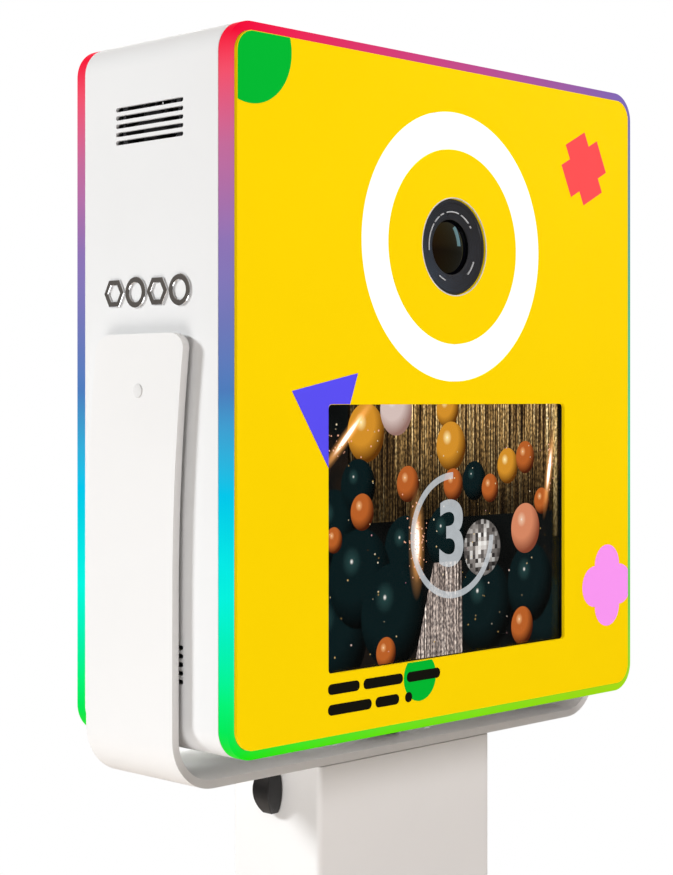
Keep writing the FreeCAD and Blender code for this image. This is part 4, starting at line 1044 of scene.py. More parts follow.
@dataclass
class Stand:
    """Base plate on rubber feet, and the folded column with its rear cover."""

    wall: float = 2.0 * MM
    fold: float = 4.0 * MM
    cover_depth: float = 1.5 * MM
    flange: float = 16.0 * MM
    edge: float = 0.5 * MM
    foot_radius: float = 16.0 * MM
    stud_hole: float = 5.0 * MM

    def build(self) -> None:
        """Make the whole stand."""
        refined("base_plate", WHITE, Body.STAND, "powder_white", 0.8, 3)
        self.feet()
        self.column()
        for node in ("column_cover", "column_top_plate"):
            refined(node, WHITE, Body.STAND, "powder_white", 0.3)
        low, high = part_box("outlet_grommet")
        grommet("outlet_grommet", (0.0, high.y, (low.z + high.z) / 2), (high.z - low.z) / 2,
                Axis.Y, Body.STAND, 6.5)

    def feet(self) -> None:
        """Four moulded feet with a ribbed skirt."""
        low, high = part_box("rubber_feet")
        radius, height = self.foot_radius, high.z - low.z
        stations = [(radius - 2.6 * MM, 0.0), (radius - 2 * MM, 0.6 * MM),
                    (radius - 1.2 * MM, height * 0.5), (radius - 0.2 * MM, height * 0.55),
                    (radius - 0.1 * MM, height)]
        x, y = low.x + radius, low.y + radius
        first = Workpiece.turned("rubber_feet_moulded", (x, y, low.z), stations, solid=True,
                                 sides=48, axis=Axis.Z)
        step_x, step_y = high.x - radius - x, high.y - radius - y
        copies = [first.twin("foot_copy").move((across, back, 0.0))
                  for across, back in ((0.0, step_y), (step_x, 0.0), (step_x, step_y))]
        first.join(copies).finish(RUBBER, Body.STAND, "black_rubber", ["rubber_feet"])

    def column(self) -> None:
        """Folded column, open at the rear behind two return flanges."""
        low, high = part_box("column_shell")
        inner = high.x - self.wall
        beyond = 10 * MM
        shell = Workpiece.block("column_folded", low, high).round_edges(along_z, self.fold, 6)
        tools = [Workpiece.block("tool", (-half, y0, low.z - beyond), (half, y1, high.z + beyond))
                 for half, y0, y1 in (
                     (inner, low.y + self.wall, high.y - self.cover_depth - self.wall),
                     (inner, high.y - self.cover_depth, high.y + beyond),
                     (inner - self.flange, 0.0, high.y + beyond))]
        tools.append(Workpiece.bar("tool", (low.x, 0.0, node_centre("clamp_pad").z),
                                   self.stud_hole, 20 * MM, Axis.X, 32))
        shell.cut(*tools).soften(self.edge, 2)
        shell.finish(WHITE, Body.STAND, "powder_white", ["column_shell"])


# ---- Yoke and clamp ------------------------------------------------------------------------


@dataclass
class Yoke:
    """Bent strip that carries the head, with its grommet and pivot caps."""

    thickness: float = 5.6 * MM
    bend: float = 36.0 * MM
    sweep: float = 12.0 * MM
    sweep_start: float = -140.0 * MM
    tip_corner: float = 15.0 * MM
    bend_steps: int = 14
    sweep_steps: int = 16
    edge: float = 0.7 * MM
    pin_hole: float = 4.06 * MM
    cable_hole: float = 12.0 * MM
    bolt_hole: float = 6.05 * MM
    bolt_places: tuple = (51.0 * MM, 14.0 * MM)

    def build(self) -> None:
        """Make the yoke and what is fixed to it."""
        self.strip()
        low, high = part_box("yoke_grommet")
        centre = ((low.x + high.x) / 2, (low.y + high.y) / 2, high.z)
        grommet("yoke_grommet", centre, (high.x - low.x) / 2, Axis.Z, Body.YOKE, 10.6)
        self.caps()
        refined("clamp_knob", KNOB_BLACK, Body.CLAMP, "black_plastic", 1.1, 4)

    def strip(self) -> None:
        """Floor block whose ends are spun up round the bends and drawn out into swept arms."""
        low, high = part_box("yoke")
        turn_x = high.x - self.bend
        floor_top = low.z + self.thickness
        piece = Workpiece.block("yoke_bent", (-turn_x, -high.y, low.z), (turn_x, high.y, floor_top))
        sweep_z = HEAD.centre.z + self.sweep_start
        rise = high.z - sweep_z
        radius = (rise ** 2 + self.sweep ** 2) / (2 * self.sweep)
        for side in (-1.0, 1.0):
            piece.pick_faces(lambda mid, normal: abs(mid.x - side * turn_x) < 1e-5)
            bpy.ops.mesh.spin(steps=self.bend_steps, angle=side * math.pi / 2,
                              center=(side * turn_x, 0.0, low.z + self.bend), axis=(0, 1, 0))
            level, forward = low.z + self.bend, 0.0
            for step in range(self.sweep_steps + 1):
                height = sweep_z + rise * step / self.sweep_steps
                drop = radius - math.sqrt(radius ** 2 - (height - sweep_z) ** 2)
                move = Vector((0.0, forward - drop, height - level))
                bpy.ops.mesh.extrude_region_move(TRANSFORM_OT_translate={"value": move})
                level, forward = height, drop
            piece.close()
        piece.open("FACE")
        piece.heal()
        piece.round_edges(lambda mid, way: along_x(mid, way) and mid.z > high.z - 1e-5,
                          self.tip_corner, 10)
        pivot, cable = node_centre("pivot_caps"), node_centre("yoke_grommet")
        tools = [Workpiece.bar("tool", (0.0, pivot.y, pivot.z), self.pin_hole, 1.0, Axis.X, 32),
                 Workpiece.bar("tool", (cable.x, 0.0, low.z), self.cable_hole, 40 * MM, Axis.Z, 48)]
        for x_side in (-1.0, 1.0):
            for y_side in (-1.0, 1.0):
                place = (x_side * self.bolt_places[0], y_side * self.bolt_places[1], floor_top)
                tools.append(Workpiece.bar("tool", place, self.bolt_hole, 5.6 * MM, Axis.Z, 32))
        piece.cut(*tools).soften(self.edge, 3)
        piece.finish(WHITE, Body.YOKE, "powder_white", ["yoke"])

    def caps(self) -> None:
        """Two domed caps over the pivot pins."""
        low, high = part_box("pivot_caps")
        centre = node_centre("pivot_caps")
        radius = (high.z - low.z) / 2
        profile = ((radius, 2.0), (radius, 0.5), (radius * 0.93, 0.16), (radius * 0.75, 0.03),
                   (radius * 0.3, 0.0))
        pair = [Workpiece.turned("pivot_caps_domed", (outer, centre.y, centre.z),
                                 [(size, -side * depth * MM) for size, depth in profile],
                                 solid=True, sides=48, axis=Axis.X)
                for side, outer in ((-1.0, low.x), (1.0, high.x))]
        pair[0].join(pair[1:]).finish(CAP_WHITE, Body.YOKE, "cap_white", ["pivot_caps"])


# ---- Head ----------------------------------------------------------------------------------


@dataclass
class Head:
    """Shell with its vents, lit rims, emblem and grommet."""

    wall: float = 2.5 * MM
    lip: float = 20.0 * MM
    bush_hole: float = 6.0 * MM
    cable_hole: float = 12.0 * MM
    rim_width: float = 6.1 * MM
    rim_wall: float = 2.0 * MM
    rim_round: float = 0.6 * MM
    slots: int = 5
    slot_pitch: float = 5.65 * MM
    slot_length: float = 70.0 * MM
    slot_height: float = 3.0 * MM
    slot_level: float = 180.5 * MM
    emblem_radius: float = 10.6 * MM
    emblem_pitch: float = 22.7 * MM
    emblem_chamfer: float = 0.35 * MM
    left_colours: tuple = ((0.0, "00E800"), (0.08, "00F779"), (0.22, "00FAE4"), (0.36, "00CCF1"),
                           (0.50, "5080C1"), (0.70, "9277B9"), (0.83, "CA6F9F"), (0.93, "F8536D"),
                           (0.985, "FF0032"))
    right_colours: tuple = ((0.0, "ACDF0D"), (0.15, "73CD54"), (0.40, "61D795"), (0.66, "5BB68F"),
                            (1.0, "7D69B9"))

    def build(self) -> None:
        """Make the head's outside."""
        self.shell()
        self.rims()
        self.emblem()
        low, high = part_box("head_grommet")
        centre = ((low.x + high.x) / 2, (low.y + high.y) / 2, low.z)
        grommet("head_grommet", centre, (high.x - low.x) / 2, Axis.Z, Body.HEAD, 7.5, 1.0)

    def slot_tools(self, x0: float, x1: float, middle_y: float) -> Workpiece:
        """All vent slots of both sides as one cutting tool.

        Args:
            x0: Left end of the cuts.
            x1: Right end of the cuts.
            middle_y: Depth of the slots' middle.

        Returns:
            The tool.
        """
        half, reach = self.slot_height / 2, self.slot_length / 2
        levels = [HEAD.centre.z + level + (index - (self.slots - 1) / 2) * self.slot_pitch
                  for level in (-self.slot_level, self.slot_level) for index in range(self.slots)]
        first = Workpiece.block("tool", (x0, middle_y - reach, levels[0] - half),
                                (x1, middle_y + reach, levels[0] + half))
        first.round_edges(along_x, half * 0.96, 8)
        return first.join([first.twin("tool").move((0.0, 0.0, level - levels[0]))
                           for level in levels[1:]])

    def shell(self) -> None:
        """One-piece white shell."""
        low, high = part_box("head_shell")
        beyond = 20 * MM
        piece = outline_block("head_shell_formed", 0.0, low.y, high.y, 20)
        pivot, cable = node_centre("pivot_caps"), node_centre("head_grommet")
        cable_place = (cable.x, cable.y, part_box("head_grommet")[0].z)
        piece.cut(outline_block("tool", self.wall, low.y + self.wall, high.y - self.wall, 20),
                  outline_block("tool", self.lip, low.y - beyond, high.y + beyond, 6),
                  Workpiece.bar("tool", (0.0, pivot.y, pivot.z), self.bush_hole, 1.0, Axis.X, 48),
                  Workpiece.bar("tool", cable_place, self.cable_hole, 30 * MM, Axis.Z, 48),
                  self.slot_tools(low.x - beyond, high.x + beyond, (low.y + high.y) / 2))
        piece.soften(0.45 * MM, 2, 40.0)
        piece.finish(SHELL_WHITE, Body.HEAD, "shell_white", ["head_shell"])

    def rims(self) -> None:
        """Lit opal rims at the front and the rear."""
        look = LitRim("lit_opal_rim", HEAD.centre, *HEAD.half, self.left_colours,
                      self.right_colours)
        beyond = 10 * MM
        for node, sign in (("front_rim_diffuser", -1.0), ("rear_rim_diffuser", 1.0)):
            low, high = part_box(node)
            face, inner = (low.y, high.y) if sign < 0 else (high.y, low.y)
            ring = outline_block(node + "_opal", 0.0, low.y, high.y, 20)
            recess = sorted((face - sign * self.rim_wall, inner - sign * beyond))
            ring.cut(outline_block("tool", self.rim_wall, *recess, 20),
                     outline_block("tool", self.rim_width, low.y - beyond, high.y + beyond, 20))
            ring.soften(self.rim_round, 3, 40.0)
            ring.finish(look, Body.HEAD, "lit_rim", [node]).visible_diffuse = False

    def emblem(self) -> None:
        """Row of chrome rings and hexagons on the left side."""
        low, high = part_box("side_emblem")
        depth, soft, radius = high.x - low.x, self.emblem_chamfer, self.emblem_radius
        shapes = []
        for index in range(4):
            centre = (low.x, low.y + radius + index * self.emblem_pitch, (low.z + high.z) / 2)
            sides, outer, inner = ((6, radius * 1.01, radius * 0.606) if index % 2 else
                                   (96, radius, radius * 0.62))
            stations = [(inner, depth), (inner, soft), (inner + soft, 0.0), (outer - soft, 0.0),
                        (outer, soft), (outer, depth)]
            shapes.append(Workpiece.turned("side_emblem_polished", centre, stations, sides=sides,
                                           axis=Axis.X))
        shapes[0].join(shapes[1:]).finish(CHROME, Body.HEAD, "chrome", ["side_emblem"])


@dataclass
class FrontPanel:
    """Printed panel with its coloured shapes, and the printed disc round the lens."""

    inset: float = 6.4 * MM
    edge: float = 0.35 * MM
    film: float = 0.2 * MM
    window_lap: float = 6.0 * MM
    window_corner: float = 3.0 * MM
    lens_hole: float = 34.9 * MM

    def build(self) -> None:
        """Make the panel, the disc and the shapes."""
        self.panel()
        self.disc()
        self.shapes()
        self.flower()
        self.caption_bars()

    def window(self, grow: float) -> Workpiece:
        """Cutting tool of the screen window, grown by a margin."""
        low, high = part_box("display_glass")
        lap, face, reach = self.window_lap - grow, HEAD.panel_face, 20 * MM
        tool = Workpiece.block("tool", (low.x + lap, face - reach, low.z + lap),
                               (high.x - lap, face + reach, high.z - lap))
        return tool.round_edges(along_y, self.window_corner, 6)

    def panel(self) -> None:
        """Yellow panel with its window and the ring light's hole."""
        low, high = HEAD.panel
        piece = outline_block("front_panel_printed", self.inset, low.y, high.y, 16)
        radius = (HEAD.ring[1].x - HEAD.ring[0].x) / 2 + 0.2 * MM
        ring_hole = Workpiece.bar("tool", HEAD.lens_centre, radius, 60 * MM, Axis.Y, 160)
        piece.cut(self.window(0.0), ring_hole).soften(self.edge, 2, 40.0)
        piece.finish(YELLOW, Body.HEAD, "panel_yellow", ["front_panel"])

    def disc(self) -> None:
        """Yellow disc inside the ring light, and a thin lip at the edge of its hole whose white
        colour is a painted highlight.
        """
        low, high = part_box("lens_plate")
        outer, inner = (high.x - low.x) / 2, self.lens_hole
        depth, soft = high.y - low.y, self.edge
        centre = Vector((0.0, low.y, HEAD.lens_centre.z))
        stations = [(inner, depth), (inner, soft), (inner + soft, 0.0), (outer - soft, 0.0),
                    (outer, soft), (outer, depth)]
        disc = Workpiece.turned("lens_plate_printed", centre, stations, sides=160)
        disc.finish(YELLOW, Body.HEAD, "panel_yellow", ["lens_plate"])
        # Thin lip round the lens hole, white all round as a painted highlight on the hole's edge.
        lip = [(inner + out * MM, back * MM) for out, back in (
            (0.05, 1.5), (0.05, -0.1), (0.25, -0.25), (0.75, -0.25), (0.9, -0.1), (0.9, 1.5))]
        trim = Workpiece.turned("lens_hole_trim", centre, lip, sides=160)
        trim.finish(CAP_WHITE, Body.HEAD, "cap_white")

    def film_block(self, name: str, x0: float, x1: float, z0: float, z1: float) -> Workpiece:
        """Thin block on the panel's face.

        Args:
            name: Name of the piece.
            x0: Left side, in millimetres from the head's centre.
            x1: Right side.
            z0: Lower side.
            z1: Upper side.

        Returns:
            The block.
        """
        face, low, high = HEAD.panel_face, HEAD.at(x0, 0.0, z0), HEAD.at(x1, 0.0, z1)
        return Workpiece.block(name, (low.x, face - self.film, low.z),
                               (high.x, face + self.film, high.z))

    def film_disc(self, name: str, x: float, z: float, radius: float) -> Workpiece:
        """Thin disc on the panel's face, in millimetres from the head's centre."""
        centre = HEAD.at(x, 0.0, z)
        centre.y = HEAD.panel_face
        return Workpiece.bar(name, centre, radius * MM, 2 * self.film, Axis.Y, 96)

    def trimmed(self, piece: Workpiece) -> Workpiece:
        """Keep what lies on the panel's face."""
        face, reach = HEAD.panel_face, 10 * MM
        area = outline_block("tool", self.inset + 0.4 * MM, face - reach, face + reach, 16)
        return piece.trim(area).cut(self.window(0.4 * MM))

    def shapes(self) -> None:
        """Green circles, red plus and violet triangle."""
        for name, x, z, radius in (("print_green_circle", -202.0, 223.0, 37.0),
                                   ("print_green_dot", -38.0, -203.0, 17.0)):
            circle = self.trimmed(self.film_disc(name, x, z, radius))
            circle.finish(GREEN, Body.HEAD, "panel_yellow")
        x, z, half, arm = 154.7, 175.0, 25.4, 13.4
        plus = self.film_block("print_red_plus", x - half, x + half, z - arm, z + arm)
        plus.weld(self.film_block("tool", x - arm, x + arm, z - half, z + half))
        plus.turn(Axis.Y, -26.6, HEAD.at(x, 0.0, z)).finish(RED, Body.HEAD, "panel_yellow")
        corners = [(-164.6, -0.2), (-101.6, 12.2), (-127.1, -57.0)]
        triangle = self.film_block("print_violet_triangle", -170.0, -95.0, -62.0, 18.0)
        for (x, z), (next_x, next_z) in zip(corners, corners[1:] + corners[:1]):
            triangle.slice_off(HEAD.at(x, 0.0, z), (z - next_z, 0.0, next_x - x))
        self.trimmed(triangle).finish(VIOLET, Body.HEAD, "panel_yellow")

    def flower(self) -> None:
        """Pink flower: four round lobes about a square heart."""
        x, z, reach, lobe = 185.0, -154.0, 16.3, 16.0
        flower = self.film_block("print_pink_flower", x - reach, x + reach, z - reach, z + reach)
        flower.turn(Axis.Y, 45.0, HEAD.at(x, 0.0, z))
        for step_x, step_z in ((reach, 0.0), (-reach, 0.0), (0.0, reach), (0.0, -reach)):
            flower.weld(self.film_disc("tool", x + step_x, z + step_z, lobe))
        self.trimmed(flower).finish(PINK, Body.HEAD, "panel_yellow")

    def caption_bars(self) -> None:
        """Two rows of plain black bars below the screen, in place of a caption."""
        upper, lower, half = -202.0, -216.0, 3.6
        bars = []
        for x0, x1, level in ((-130.7, -100.0, upper), (-96.0, -56.0, upper), (-52.0, -16.4, upper),
                              (-130.7, -88.0, lower), (-84.0, -60.0, lower)):
            bar = self.film_block("print_caption_bars", x0, x1, level - half, level + half)
            bars.append(bar.round_edges(along_y, 3.4 * MM, 8))
        bars.append(self.film_disc("tool", -50.0, lower, half))
        for bar in bars:
            bar.move((0.0, -0.02 * MM, 0.0))
        bars[0].join(bars[1:]).finish(INK, Body.HEAD, "panel_yellow")


@dataclass
class RingLight:
    """Flat lit ring flush with the panel."""

    edge: float = 0.5 * MM
    inner: float = 70.7 * MM

    def build(self) -> None:
        """Make the diffuser."""
        low, high = HEAD.ring
        outer, inner = (high.x - low.x) / 2, self.inner
        depth, soft, nick = high.y - low.y, self.edge, self.edge * 0.3
        centre = Vector((0.0, low.y, HEAD.lens_centre.z))
        stations = [(inner, depth), (inner, soft), (inner + nick, nick), (inner + soft, 0.0),
                    (outer - soft, 0.0), (outer - nick, nick), (outer, soft), (outer, depth)]
        ring = Workpiece.turned("ring_light_opal", centre, stations, sides=160)
        look = LitRing("lit_opal_ring", centre, (inner + outer) / 2, outer - inner)
        ring.finish(look, Body.HEAD, "lit_ring", ["ring_light_diffuser"])


@dataclass
class Lens:
    """Moving barrel with its stepped mouth, markings and coated front glass, in millimetres."""

    barrel_radius: float = 34.4
    rings: int = 7
    mouth: float = 31.2
    glass: float = 20.0
    glass_rim: float = 23.45
    dome: float = 52.0
    dome_depth: float = 0.4
    arc_radius: float = 25.6
    arc_half: float = 0.4
    arcs: tuple = ((-98.0, -52.0), (-48.0, -34.0), (-30.0, -22.0), (-14.0, 16.0), (22.0, 44.0),
                   (50.0, 54.0), (112.0, 138.0), (198.0, 214.0))

    def build(self) -> None:
        """Make the lens front."""
        self.barrel()
        self.element()
        self.marks()

    def turned(self, name: str, profile: Profile, solid: bool = False,
               sides: int = 128) -> Workpiece:
        """Turn a piece about the lens axis from a profile in millimetres."""
        stations = [(radius * MM, depth * MM) for radius, depth in profile]
        return Workpiece.turned(name, HEAD.lens_centre, stations, solid, sides)

    def barrel(self) -> None:
        """Barrel whose mouth narrows in fine ridges to the glass."""
        outer, inner = self.barrel_radius, 25.9
        profile = [(outer, 7.0), (outer, -0.5), (34.1, -0.9), (33.7, -1.0), (32.4, -1.0),
                   (32.1, -0.85), (31.9, -0.4)]
        step = (self.mouth - self.glass - 0.6) / self.rings
        for index in range(self.rings):
            radius, depth = self.mouth - index * step, -0.2 + index * 0.26
            profile += [(radius, depth), (radius - step * 0.62, depth + 0.04),
                        (radius - step * 0.70, depth + 0.16)]
        profile += [(self.glass, 2.1), (self.glass + 0.1, 2.3), (23.5, 2.4), (23.5, 62.0),
                    (inner, 62.0), (inner, 7.0)]
        barrel = self.turned("lens_barrel_moulded", profile)
        barrel.finish(LENS_BLACK, Body.LENS, "black_plastic", ["lens_inner_barrel"], 28.0)

    def element(self) -> None:
        """Domed glass behind the mouth."""
        profile = [(self.glass_rim, 11.0)]
        for step in range(16):
            radius = self.glass_rim * (1 - step / 15.4)
            sag = self.dome - math.sqrt(self.dome ** 2 - radius ** 2)
            profile.append((max(radius, 0.4), self.dome_depth + sag))
        glass = self.turned("front_element_polished", profile, True)
        glass.finish(LENS_GLASS, Body.LENS, "glass", ["front_element"], 60.0)

    def marks(self) -> None:
        """White index arcs round the mouth, in place of a maker's inscription."""
        inner, outer = self.arc_radius - self.arc_half, self.arc_radius + self.arc_half
        arcs = []
        for ends in self.arcs:
            arc = self.turned("lens_index_arcs", [(inner, 0.9), (inner, 0.0), (outer, 0.0),
                                                  (outer, 0.9)], sides=96)
            for angle, side in zip(map(math.radians, ends), (-1.0, 1.0)):
                way = Vector((math.cos(angle), 0.0, -math.sin(angle)))
                arc.slice_off(HEAD.lens_centre, way * side)
            arcs.append(arc)
        arcs[0].join(arcs[1:]).finish(MARK_WHITE, Body.LENS, "cap_white")


# ---- Screen --------------------------------------------------------------------------------


GOLD = ("5E3408", "D4902A", "FFE29A")
ROSY = ("A07A70", "E6CFC8", "FFFAF6")
AMBER = ("4A1C08", "C0642A", "F6B478")
PEACH = ("8A4630", "E08E68", "F8C8A8")
TEAL = ("010303", "081A1C", "24403F")
GOLD_FOIL = ("0E0906", "3C2C1C", "7C603A", "B49460", "F4E2B4")
PALE_FOIL = ("6A5432", "B08F58", "D8BE86", "F0DDB0", "FFF6DC")
SILVER_FOIL = ("1A1615", "6A605E", "A89C9A", "D0C6C4", "FFFAF8")
DIM_ROOM = ScreenPatches("picture_backdrop", 16.0, 3.0, (
    (0.35, "050606"), (0.55, "0E1212"), (0.66, "221A14"), (0.82, "4A2E1C")), 0.8)
FLAKES = ScreenPatches("picture_flakes", 180.0, 1.0, (
    (0.35, "5A3C20"), (0.48, "D9B26A"), (0.58, "FFF2D8"), (0.70, "E58FA8")), 0.9)
SPARK = ScreenColour("picture_spark", linear("F6B494"), 1.0)
VEIL = ScreenColour("picture_veil", linear("DCE2E6"), 0.9, 0.42)

# Across, up, radius in millimetres, and layer of each balloon.
BALLOONS = {
    "gold": (GOLD, 1.0, (
        (-86.0, -29.0, 18.5, 3), (0.0, -13.0, 12.0, 3), (4.0, -40.0, 16.0, 4),
        (69.0, -56.0, 12.0, 3))),
    "rosy": (ROSY, 0.85, ((-55.0, -13.0, 16.5, 4),)),
    "teal": (TEAL, 1.0, (
        (-118.0, -92.0, 22.0, 5), (-94.0, -66.0, 17.0, 5), (-92.0, -130.0, 31.0, 7),
        (-118.0, -168.0, 33.0, 6), (-46.0, -112.0, 21.0, 6), (-58.0, -158.0, 33.0, 8),
        (-2.0, -106.0, 21.0, 9), (42.0, -160.0, 31.0, 7), (30.0, -66.0, 13.0, 5),
        (96.0, -146.0, 27.0, 8), (118.0, -172.0, 26.0, 7))),
    "amber": (AMBER, 0.9, (
        (-90.0, -84.0, 11.5, 8), (-43.0, -66.0, 11.5, 7), (6.0, -68.0, 10.5, 8),
        (48.0, -72.0, 9.5, 8), (90.0, -50.0, 11.0, 5), (-118.0, -102.0, 8.0, 8),
        (86.0, -178.0, 13.0, 10), (-66.0, -184.0, 10.0, 11), (110.0, -84.0, 9.0, 6))),
    "peach": (PEACH, 0.9, ((90.0, -104.0, 17.0, 9),)),
}


@dataclass
class Screen:
    """Display behind its glass, with a lit party picture built up in thin layers."""

    layer: float = 0.045 * MM
    first_layer: float = 0.95 * MM
    lap: float = 6.0 * MM
    edge: float = 129.9
    seed: int = 11

    def __post_init__(self) -> None:
        """Read where the display is."""
        self.low, self.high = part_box("display_panel")
        glass_low, glass_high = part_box("display_glass")
        self.left, self.right = glass_low.x + self.lap, glass_high.x - self.lap
        self.bottom, self.top = glass_low.z + self.lap, glass_high.z - self.lap
        self.draw = random.Random(self.seed)

    def at(self, x: float, level: int, z: float) -> Vector:
        """Point of the picture: across from the middle, layer, and up from the head's centre."""
        return Vector((x * MM, self.low.y + self.first_layer - level * self.layer,
                       HEAD.centre.z + z * MM))

    def slab(self, name: str, x0: float, x1: float, z0: float, z1: float,
             level: int) -> Workpiece:
        """Thin slab of the picture."""
        low, high = self.at(x0, level, z0), self.at(x1, level, z1)
        return Workpiece.block(name, (low.x, low.y - self.layer / 2, low.z), high)

    def disc(self, name: str, x: float, z: float, radius: float, level: int,
             tall: float = 1.0) -> Workpiece:
        """Thin disc of the picture with a rounded rim; its front carries a map of the disc.

        Args:
            name: Name of the piece.
            x: Place across.
            z: Place up.
            radius: Radius in millimetres.
            level: Layer.
            tall: Height over width.

        Returns:
            The disc.
        """
        size, centre = radius * MM, self.at(x, level, z)
        stations = [(size * 0.985, -self.layer * 0.6), (size, -self.layer * 0.4), (size, 0.0)]
        piece = Workpiece.turned(name, centre, stations, solid=True, sides=64)
        piece.open("FACE")
        bpy.ops.mesh.select_all(action="SELECT")
        return piece.scaled((1.0, 1.0, tall), centre)

    def clipped(self, piece: Workpiece) -> Workpiece:
        """Keep what lies behind the window."""
        area = Workpiece.block("tool", (self.left, self.low.y - 5 * MM, self.bottom),
                               (self.right, self.high.y + 5 * MM, self.top))
        return piece.trim(area)

    def show(self, piece: Workpiece, look: Finish) -> None:
        """Finish a piece of the picture."""
        piece.finish(look, Body.HEAD, "screen")

    def build(self) -> None:
        """Make the glass, the panel and the picture."""
        refined("display_glass", GLASS, Body.HEAD, "glass", 0.25)
        backing = Workpiece.block("display_panel_lit",
                                  (self.low.x, self.low.y + MM, self.low.z), self.high)
        backing.soften(0.3 * MM, 2).finish(DIM_ROOM, Body.HEAD, "screen", ["display_panel"])
        self.foil()
        self.balloons()
        self.lights()
        self.flakes()
        self.countdown()

    def foil(self) -> None:
        """Gold foil curtain, a bright strip at its right edge, and a silver fringe lower down."""
        left, top, edge = -104.0, (self.top - HEAD.centre.z) / MM, self.edge
        curtain = self.slab("picture_gold_curtain", left, edge, -92.0, top, 1)
        self.show(curtain, Tinsel("picture_gold_foil", self.at(left, 1, -92.0),
                                  self.at(edge, 1, top), GOLD_FOIL))
        strip = self.slab("picture_gold_strip", 125.0, edge, -112.0, top, 2)
        self.show(strip, Tinsel("picture_pale_foil", self.at(110.0, 2, -112.0),
                                self.at(edge, 2, top), PALE_FOIL, 0.1))
        fringe = self.slab("picture_silver_fringe", -35.0, 16.0, -191.5, -124.0, 12)
        fringe.pick_faces(lambda mid, normal: normal.z > 0.9)
        fringe.scaled((0.62, 1.0, 1.0), self.at(16.0, 12, -124.0))
        self.show(fringe, Tinsel("picture_silver_foil", self.at(-60.0, 12, -260.0),
                                 self.at(16.0, 12, -130.0), SILVER_FOIL, 0.6, 0.5))

    def balloons(self) -> None:
        """Balloons in five colours and a mirror ball."""
        for tint, (tones, strength, places) in BALLOONS.items():
            discs = [self.disc(f"picture_{tint}_balloons", *place, 1.12) for place in places]
            group = self.clipped(discs[0].join(discs[1:]))
            self.show(group, Balloon(f"picture_{tint}_balloon", tones, strength))
        ball = self.disc("picture_mirror_ball", 39.0, -116.0, 21.0, 10)
        self.show(ball, MirrorBall("picture_mirrors"))

    def lights(self) -> None:
        """Two sparklers and a fountain of sparks."""
        hot, warm = (1.0, 0.97, 0.90, 1.0), linear("F0A860")
        for index, (x, z, across, up, lean, strength) in enumerate((
                (-105.0, -31.0, 5.5, 46.0, -46.0, 2.2), (119.0, -60.0, 5.0, 40.0, -10.0, 2.2),
                (-34.0, -108.0, 9.0, 42.0, 0.0, 2.0))):
            spot = self.disc(f"picture_glow_{index + 1}", x, z, up * 1.05, 13 + index)
            look = Glow(f"picture_light_{index + 1}", self.at(x, 0, z), across * MM, up * MM, lean,
                        hot, warm, strength)
            self.show(self.clipped(spot), look)

    def scatter(self, name: str, places: Iterable[Point], level: int, look: Finish) -> None:
        """Small six-sided flakes.

        Args:
            name: Name of the piece.
            places: Across, up and size of each flake, in millimetres.
            level: Layer.
            look: Finish to wear.
        """
        flakes = [Workpiece.turned(name, self.at(x, level, z),
                                   [(size * 0.8 * MM, -self.layer * 0.5), (size * MM, 0.0)],
                                   solid=True, sides=6) for x, z, size in places]
        self.show(flakes[0].join(flakes[1:]), look)

    def flakes(self) -> None:
        """Confetti over the picture, and sparks round the fountain and the sparklers."""
        draw = self.draw
        confetti = [(draw.uniform(-126.0, 118.0), draw.uniform(-185.0, -20.0),
                     draw.uniform(0.3, 0.8)) for _ in range(90)]
        self.scatter("picture_confetti", confetti, 16, FLAKES)
        sparks = []
        for x, z, spread, rise, count in ((-34.0, -106.0, 4.6, 12.0, 90),
                                          (-108.0, -36.0, 12.0, 9.0, 26),
                                          (121.0, -60.0, 3.0, 14.0, 14)):
            for _ in range(count):
                place_x, place_z = draw.gauss(x, spread), draw.gauss(z, rise)
                sparks.append((min(place_x, 128.0), place_z, draw.uniform(0.35, 0.8)))
        self.scatter("picture_sparks", sparks, 17, SPARK)

    def countdown(self) -> None:
        """Countdown numeral inside an open ring, both see-through."""
        outer, inner, thin = 46.0 * MM, 41.2 * MM, self.layer / 2
        centre = self.at(5.5, 18, -105.0)
        ring = Workpiece.turned("picture_countdown_ring", centre,
                                [(outer, 0.0), (outer, thin), (inner, thin), (inner, 0.0)],
                                sides=128)
        quarter = Workpiece.block("tool", centre - Vector((0.0, 5.0, 2.0)) * MM,
                                  centre + Vector((70.0, 5.0, 70.0)) * MM)
        self.show(ring.cut(quarter), VEIL)
        deselect()
        bpy.ops.object.text_add(rotation=(math.pi / 2, 0.0, 0.0))
        text = bpy.context.object.data
        text.body = "3"
        text.align_x, text.align_y = "CENTER", "CENTER"
        text.size, text.offset, text.extrude = 66 * MM, 1.5 * MM, self.layer / 4
        bpy.ops.object.convert(target="MESH")
        self.show(Workpiece("picture_countdown_numeral").move(self.at(4.0, 19, -106.0)), VEIL)


# ---- Rear and inside -----------------------------------------------------------------------


@dataclass
class RearAndInside:
    """Rear frame, door, inlet and the parts seen through the open door."""

    pieces: tuple = (
        ("rear_frame", SHELL_WHITE, Body.HEAD, "shell_white", 0.4),
        ("rear_door", SHELL_WHITE, Body.DOOR, "shell_white", 0.5),
        ("door_lock", CHROME, Body.LOCK, "chrome", 0.4),
        ("power_inlet", BLACK, Body.HEAD, "black_plastic", 0.4),
        ("camera_body", BLACK, Body.HEAD, "black_plastic", 1.6, 3),
        ("equipment_shelf", SHEET_BLACK, Body.HEAD, "black_shelf", 0.4),
        ("front_frame", SHEET_BLACK, Body.HEAD, "black_shelf", 0.3),
        ("led_controller", BLACK, Body.HEAD, "black_plastic", 0.8),
        ("power_supply", ALUMINIUM, Body.HEAD, "aluminium", 0.5),
    )

    def build(self) -> None:
        """Refine the pieces that can be seen from behind."""
        for piece in self.pieces:
            refined(*piece)


# ---- Studio --------------------------------------------------------------------------------


